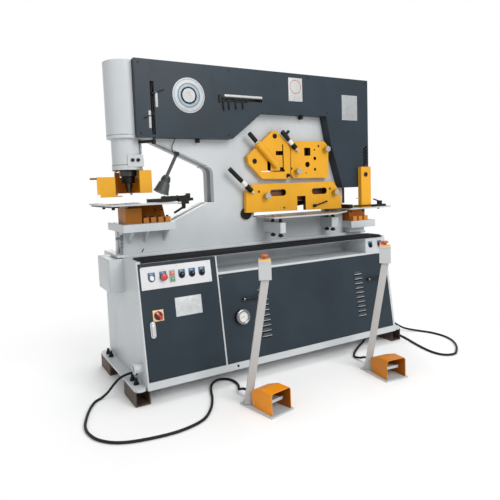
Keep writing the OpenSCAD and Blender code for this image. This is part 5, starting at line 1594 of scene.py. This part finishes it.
@dataclass
class PedalStation:
    """A pedal station: treadle mat, base bolts, box screws, strain relief and stop."""

    side: str
    place: StationPlace
    lid: float = 96

    def build(self) -> None:
        """Makes the station's small parts and its emergency stop."""
        here, top = self.place.frame, self.place.head @ at(0, 0, self.lid)
        made = Maker(f"station_{self.side}_fittings", "machine", "frame_grey")
        made.bolt(grid(here, (-68, 68), (-112,), 8), 6, 4, Kit.STEEL, 8)
        made.turned([(4.4, 0), (4.0, 1.8), (2.0, 2.8)],
                    [here @ at(62 * d, 20, 30, turn(y=90 * d)) for d in ENDS], Kit.CHROME, 16)
        made.bolt([here @ at(64, 100, 8), here @ at(-10, 106, 8)], 8, 5, washer=11)
        made.pressed(panel(62, 62, 5), 1.4, top @ at(0, 0, 5.4), Kit.CAP_YELLOW, 1.0)
        made.turned([(3.6, 0), (3.4, 1.0), (1.6, 1.2)], grid(top, (-25, 25), (-25, 25), 6.8),
                    Kit.CHROME, 14)
        made.turned([(22, 6.8), (23, 7.4), (23, 8.4), (21, 9.2)], top, Kit.CAP_YELLOW, 32)
        made.pressed(panel(62, 2.0, 0.8, 2), 0.3,
                     [side @ at(0, -32, -9, turn(90)) for side in around(top, 4)],
                     Kit.GREY_PLASTIC, 0.1)
        made.stack([[(x, y, z) for x, y in panel(w, w, 3, 3)]
                    for w, z in ((49, 11.5), (47, 13), (42, 17), (40.2, 18))],
                   self.place.post, Kit.POST)
        made.close()
        self._relief(here @ at(8, 86, 38, turn(-90)))
        self._treadle(here @ at(0, 18, 42) @ turn(-5))
        mushroom(f"post_estop_{self.side}", top, 6, Kit.OLD_RED)

    def _relief(self, seat: Matrix) -> None:
        """Nut and rubber rings where the lead comes out.

        Args:
            seat: The hole's place.
        """
        relief = Maker(f"station_{self.side}_relief", "machine", "black_plastic")
        for z in range(18, 74, 8):
            r = 12.2 - 0.042 * z
            relief.turned([(r - 0.2, z), (r + 0.9, z + 1.4), (r + 0.9, z + 4), (r - 0.3, z + 5.4)],
                          seat, Kit.RUBBER, 24, True)
        relief.bolt(seat @ at(0, 0, 0.4), 15.4, 9, Kit.BLACK)
        relief.close()

    def _treadle(self, tread: Matrix) -> None:
        """Ribbed tread of the pedal.

        Args:
            tread: The pedal's pin, tilted as the pedal is.
        """
        made = Maker(f"pedal_{self.side}_tread", f"pedal_{self.side}", "bright_steel")
        made.pressed(panel(76, 88, 4), 2.6, tread @ at(0, -47, 9.0), Kit.GREY_PLASTIC, 1.0)
        made.pressed(panel(70, 4.2, 1.8, 3), 1.8,
                     [tread @ at(0, -84 + 9 * k, 11.4) for k in range(9)], Kit.GREY_PLASTIC, 0.8)
        made.close()


@dataclass
class Lamp:
    """Fins, bulb and knuckle of the working lamp."""

    pivot: Triple = (-527.7, -3.0, 1334.0)

    def build(self) -> None:
        """Makes what rides with the lamp."""
        made = Maker("lamp_fittings", "lamp", "black_plastic")
        x, y, z = self.pivot
        hood = at(x - 66, y, z - 128) @ turn(y=204)
        for k in range(4):
            h = 12 + 6 * k
            made.turned([(24 + k, h), (27.4 + k, h + 0.8), (27.4 + k, h + 2.6),
                         (24.4 + k, h + 3.4)], hood, Kit.LAMP_GREY, 40, True)
        made.turned([(44.2, 96), (47.2, 103), (47.6, 106), (46.6, 107.4), (43.6, 107)], hood,
                    Kit.LAMP_GREY, 48)
        made.turned([(3, 42), (13, 50), (21, 66), (25, 80), (22, 94), (12, 101), (1, 103)], hood,
                    Kit.DIAL, 32)
        made.turned([(8.6, 0), (8.2, 2.4), (4.0, 3.0)],
                    [at(x, y + 12 * side, z, turn(-90 * side)) for side in ENDS],
                    Kit.BLACK_STEEL, 24)
        made.close()


# ------------ the frame's own surfaces


def near(spot: Sequence[float], places: Iterable[Pair], reach: float) -> bool:
    """Whether a point of a plane is within a square reach of one of the places."""
    return any(max(abs(spot[0] - x), abs(spot[1] - y)) < reach for x, y in places)


class Dresser:
    """Puts each finish where it belongs on the frame's nodes."""

    plain: dict[Kit, str] = {
        Kit.LIGHT_GREY: "frame_front_plate frame_rear_plate nose_housing",
        Kit.ANTHRACITE: "rear_cover",
        # The beam, the notcher's ram and the lower blades are seen mostly in gaps: their dark brown
        # is partly painted shade.
        Kit.BROWN_STEEL: "shear_beam notch_ram lower_blades",
        Kit.BLACK_STEEL: "stop_upper stop_lower stop_lever notch_stop shear_lever table_stop",
        Kit.KNOB: "knob_bar_left knob_bar_right knob_flat_left knob_flat_right",
        Kit.STEEL: "pedal_left pedal_right",
        Kit.CHROME: "shear_piston door_lock",
        Kit.LAMP_GREY: "lamp",
        Kit.RUBBER: "cord_left cord_right",
        Kit.RED: "main_switch panel_estop stop_button box_estop post_estop_left post_estop_right",
        Kit.BLACK: "selector_left selector_middle selector_right box_selector",
        Kit.WHITE_PLASTIC: "white_button",
        Kit.GREEN: "start_button",
    }

    def build(self) -> None:
        """Dresses every node."""
        for kit, nodes in self.plain.items():
            dress(nodes, kit)
        self._punch()
        self._head()
        self._cabinet()
        self._fronts()
        self._shears()
        self._screws()
        for side, place in STATIONS.items():
            self._station(side, place)

    def _punch(self) -> None:
        """Pivot pin, cylinder, ram, stripper and the punch's table."""
        dress("frame_base", Kit.LIGHT_GREY,
              (Kit.BLACK_STEEL, (-113, -60, 912), (-35, 136, 990)),
              (Kit.BLACK_STEEL, (-545, -30, 1318), (-508, 30, 1352)))
        dress("punch_cylinder", Kit.LIGHT_GREY,
              (Kit.BLACK_STEEL, (-830, -60, 1288), (-760, -43.4, 1312)),
              (Kit.STEEL, (-880, 118, 1095), (-740, 200, 1300)))
        dress("punch_ram", Kit.RAM_STEEL,
              (Kit.BLACK_STEEL, (-855, 8, 1169), (-775, 88, 1215)),
              (Kit.BLACK_STEEL, (-770, -140, 1380), (-660, 0, 1760)))
        dress("stripper", Kit.YELLOW,
              # The yellow stripper's inner faces take the darker orange-brown: painted shade.
              (Kit.BOLSTER, lambda m, n: n.y < -0.5 and m.y > -50),
              (Kit.BROWN_STEEL, (-1060, -60, 1190), (-926, -40, 1206)))
        dress("punch_table", Kit.TABLE_STEEL,
              (Kit.BLACK_STEEL, (-986, -230, 1010), (-942, 330, 1044.9)),
              (Kit.WHITE, lambda m, n: 1045.1 < m.z < 1054.9),
              (Kit.BLACK_STEEL, lambda m, n: m.z < 1045.1 and m.x > -942))
        dress("die_bolster", Kit.BOLSTER,
              # The bolster's set-back part under the table: painted shade.
              (Kit.SHADED_ORANGE_BROWN, (-789.9, -61, 938), (-600, 200, 1045)),
              (Kit.ORANGE, (-784, -91, 938.9), (-596, -59.9, 970.1)),
              (Kit.BLACK_STEEL, (-784, -91, 970.2), (-596, -59.9, 979)))

    def _head(self) -> None:
        """Head cover with its plates, scales and rack."""
        plates = ((Kit.LABEL, -575, 1568, -370, 1774), (Kit.LABEL, 238, 1676, 351, 1830),
                  (Kit.DATA_PLATE, 690, 1568, 834, 1744), (Kit.LABEL, -679, 1594, -663, 1681),
                  (Kit.LABEL, -723, 1475, -707, 1574), (Kit.LABEL, -237, 1677, 35, 1693),
                  (Kit.BLACK, -277, 1641, -261, 1687))
        dress("head_cover", Kit.ANTHRACITE,
              *((kit, (x0, -112, z0), (x1, -100.2, z1)) for kit, x0, z0, x1, z1 in plates),
              (Kit.BLACK_STEEL, (-262, -112, 1605), (-79, -102.1, 1670)),
              # Side walls just behind the cover's face: painted shade.
              (Kit.PAINTED_SHADE, lambda m, n: -99.5 < m.y < -96 and abs(n.y) < 0.5
               and -707 < m.x < 36 and 1439 < m.z < 1738))

    def _cabinet(self) -> None:
        """Cabinet, feet, wiring box and power unit."""
        dress("cabinet", Kit.LIGHT_GREY,
              (Kit.BLACK, lambda m, n: 660 < m.z < 718 and 730 < m.x < 862
               and m.y < slope(0, m.z, 0.4).translation.y),
              # The walls of the small hole low on the leaning front: painted shade.
              (Kit.PAINTED_SHADE, lambda m, n: abs(m.x + 362) < 6.5
               and abs(m.z - 100) < 7 and m.y < -380 and abs(n.y) < 0.5),
              (Kit.STEEL, (-450, -400, 118), (-438, -280, 740)))
        dress("cabinet_feet", Kit.RUST,
              (Kit.BLACK_STEEL, lambda m, n: min(abs(abs(m.y) - y) for y in (228, 296)) < 17
               and (m.z > 80.2 or 60 < m.z < 75.5) and 918 < abs(m.x) < 952))
        dress("junction_box", Kit.LIGHT_GREY,
              (Kit.BLACK, lambda m, n: near(m.yz, [(-190, 122)], 16)))
        dress("power_unit", Kit.TANK,
              (Kit.MOTOR, (-162, 20, 430.2), (129, 200, 645)),
              (Kit.STEEL, (129.5, 40, 480), (232, 180, 640)),
              (Kit.STEEL, (400, -130, 100), (645, 345, 640)),
              (Kit.LIGHT_GREY, (725, -25, 1465), (875, 125, 1780)),
              (Kit.WHITE, (-862, 300, 138), (-468, 380, 692)),
              (Kit.CREAM, (-862, 250, 138), (-468, 355, 692)),
              (Kit.BEZEL, (-353, -420, 325), (-258, -300, 418)))

    def _fronts(self) -> None:
        """Electrics door and louvred cover, each zone in the leaning front's own axes."""
        plate = slope(-881, 597)
        dress("electrics_door", Kit.ANTHRACITE,
              (Kit.PANEL_WHITE, (-1, -1, 0.05), (412, 125, 2.2), plate),
              (Kit.BLACK, (-1, -1, 2.1), (412, 125, 9), plate),
              (Kit.GREY_PLASTIC, (-22, -42, 2.1), (22, 42, 9), slope(-705, 655)),
              (Kit.SWITCH_ORANGE, (-31, -31, 0.05), (31, 31, 3.2), slope(-806, 457)),
              (Kit.DOOR_PLATE, (-1, -1, 0.05), (157, 104, 1.7), slope(-704, 434)),
              (Kit.ANTHRACITE, (-14, -1, 0.05), (14, 103, 3.2), slope(-842, 336)))
        dress("louvred_cover", Kit.ANTHRACITE,
              *((Kit.BLACK, (-14, -14, 0.1), (138, 14, 36), slope(*handle))
                for handle in LouvredCover.handles))

    def _shears(self) -> None:
        """Shear hold-downs, tables and notcher."""
        bosses = ((270, 1396), (-95, 1130))
        for node, cuts in (("angle_holddown", [(28, 1215, 215, 1398)]),
                           ("bar_holddown", [(370, 1195, 483, 1382)]),
                           ("flat_holddown", [(91, 1055, 220, 1101), (434, 1054, 568, 1100),
                                              (308, 944, 381, 1049)])):
            dress(node, Kit.YELLOW,
                  (Kit.BLACK_STEEL, lambda m, n: m.y < -71 and node != "angle_holddown"
                   and near(m.xz, bosses, 62)),
                  (Kit.BLACK_STEEL, lambda m, n: m.y < -70.3 and m.z > 1180
                   and near(m.xz, HOLDDOWN_BOLTS, 14)),
                  # Walls of the hold-downs' window cut-outs: painted shade.
                  (Kit.BROWN_STEEL, lambda m, n: abs(n.y) < 0.5 and -70.2 < m.y < -39.8
                   and any(x0 < m.x < x1 and z0 < m.z < z1 for x0, z0, x1, z1 in cuts)))
        dress("shear_table", Kit.TABLE_STEEL,
              (Kit.WHITE, lambda m, n: 920.1 < m.z < 929.9),
              (Kit.LIGHT_GREY, lambda m, n: m.z < 919.9),
              (Kit.BLACK_STEEL, lambda m, n: m.z < 920.5 and near(m, TABLE_BOLTS, 12)))
        dress("notch_table", Kit.TABLE_STEEL,
              (Kit.WHITE, lambda m, n: 936.1 < m.z < 945.9),
              (Kit.LIGHT_GREY, lambda m, n: m.z < 936),
              (Kit.BLACK_STEEL, (1058, -72, 905), (1082, -48, 935.9)))
        dress("notch_die", Kit.YELLOW,
              # The die's part under the table: painted shade.
              (Kit.SHADED_ORANGE_BROWN, lambda m, n: m.z < 936.2),
              (Kit.ORANGE, (758, -126, 849.9), (956, -87.1, 884.1)),
              (Kit.BLACK_STEEL, (859, -200, 1171), (883, -137.9, 1195)))

    def _screws(self) -> None:
        """Clamp screws: black grip, white collar and bright rod, along the leaning axis."""
        along = Vector((0.72, 0, -0.69))
        for name, grip, collar in (("angle_screw", 85, 94), ("bar_screw", 83, 122),
                                   ("flat_screw", 129, 172)):
            low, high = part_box(name)
            start = Vector((low[0] / MM, 0, high[2] / MM)).dot(along)
            dress(name, Kit.CHROME,
                  (Kit.WHITE_PLASTIC, lambda m, n: m.dot(along) - start < collar),
                  (Kit.BLACK, lambda m, n: m.dot(along) - start < grip))

    def _hollow(self, middle: Vector, normal: Vector) -> bool:
        """Whether a face, given in the station's own axes, lines the hood from within."""
        inward = Vector((middle.x, middle.y + 40, middle.z - 40)).dot(normal) < 0
        return inward and abs(middle.x) < 73 and -113 < middle.y < 84 and middle.z > 8.5

    def _station(self, side: str, place: StationPlace) -> None:
        """One pedal station.

        Args:
            side: Its side, as in its node's name.
            place: Where it stands.
        """
        here, back = place.frame, place.frame.inverted()
        # The right hood takes the darker copy of the hood paint, and the hood's inside faces the
        # darker orange-brown: both painted shade.
        dress("pedal_station_" + side, Kit.HOOD if side == "left" else Kit.HOOD_SHADED,
              (Kit.SHADED_ORANGE_BROWN, lambda m, n: self._hollow(back @ m, back.to_3x3() @ n)),
              (Kit.LIGHT_GREY, (-80, -125, -1), (80, 120, 8.1), here),
              (Kit.GREY_PLASTIC, (-27, 36, 8.2), (34, 86.1, 61), here),
              (Kit.STEEL, (-52, 2, 8.2), (52, 34, 56), here),
              (Kit.RUBBER, (-9, 86.2, 20), (25, 162, 58), here),
              (Kit.POST, (-20.5, -20.5, 8), (20.5, 20.5, 700), place.post),
              (Kit.WHITE, (-33, -33, -0.1), (33, 33, 96.02), place.head),
              (Kit.CAP_YELLOW, (-33, -33, 96.01), (33, 33, 103), place.head))


# ------------ the whole


def main() -> None:
    """Builds the studio, the finishes and every piece."""
    logging.basicConfig(level=logging.INFO, format="%(name)s: %(message)s")
    stations = [PedalStation(side, place) for side, place in STATIONS.items()]
    for each in (Studio(), Dresser(), *CORDS, HeadPlates(), PunchStation(), ShearStation(),
                 NotchStation(), Lamp(), CabinetBody(), PressureGauge(), LouvredCover(),
                 ControlPanel(), ControlCorner(), Feet(), *stations):
        each.build()


if __name__ == "__main__":
    main()
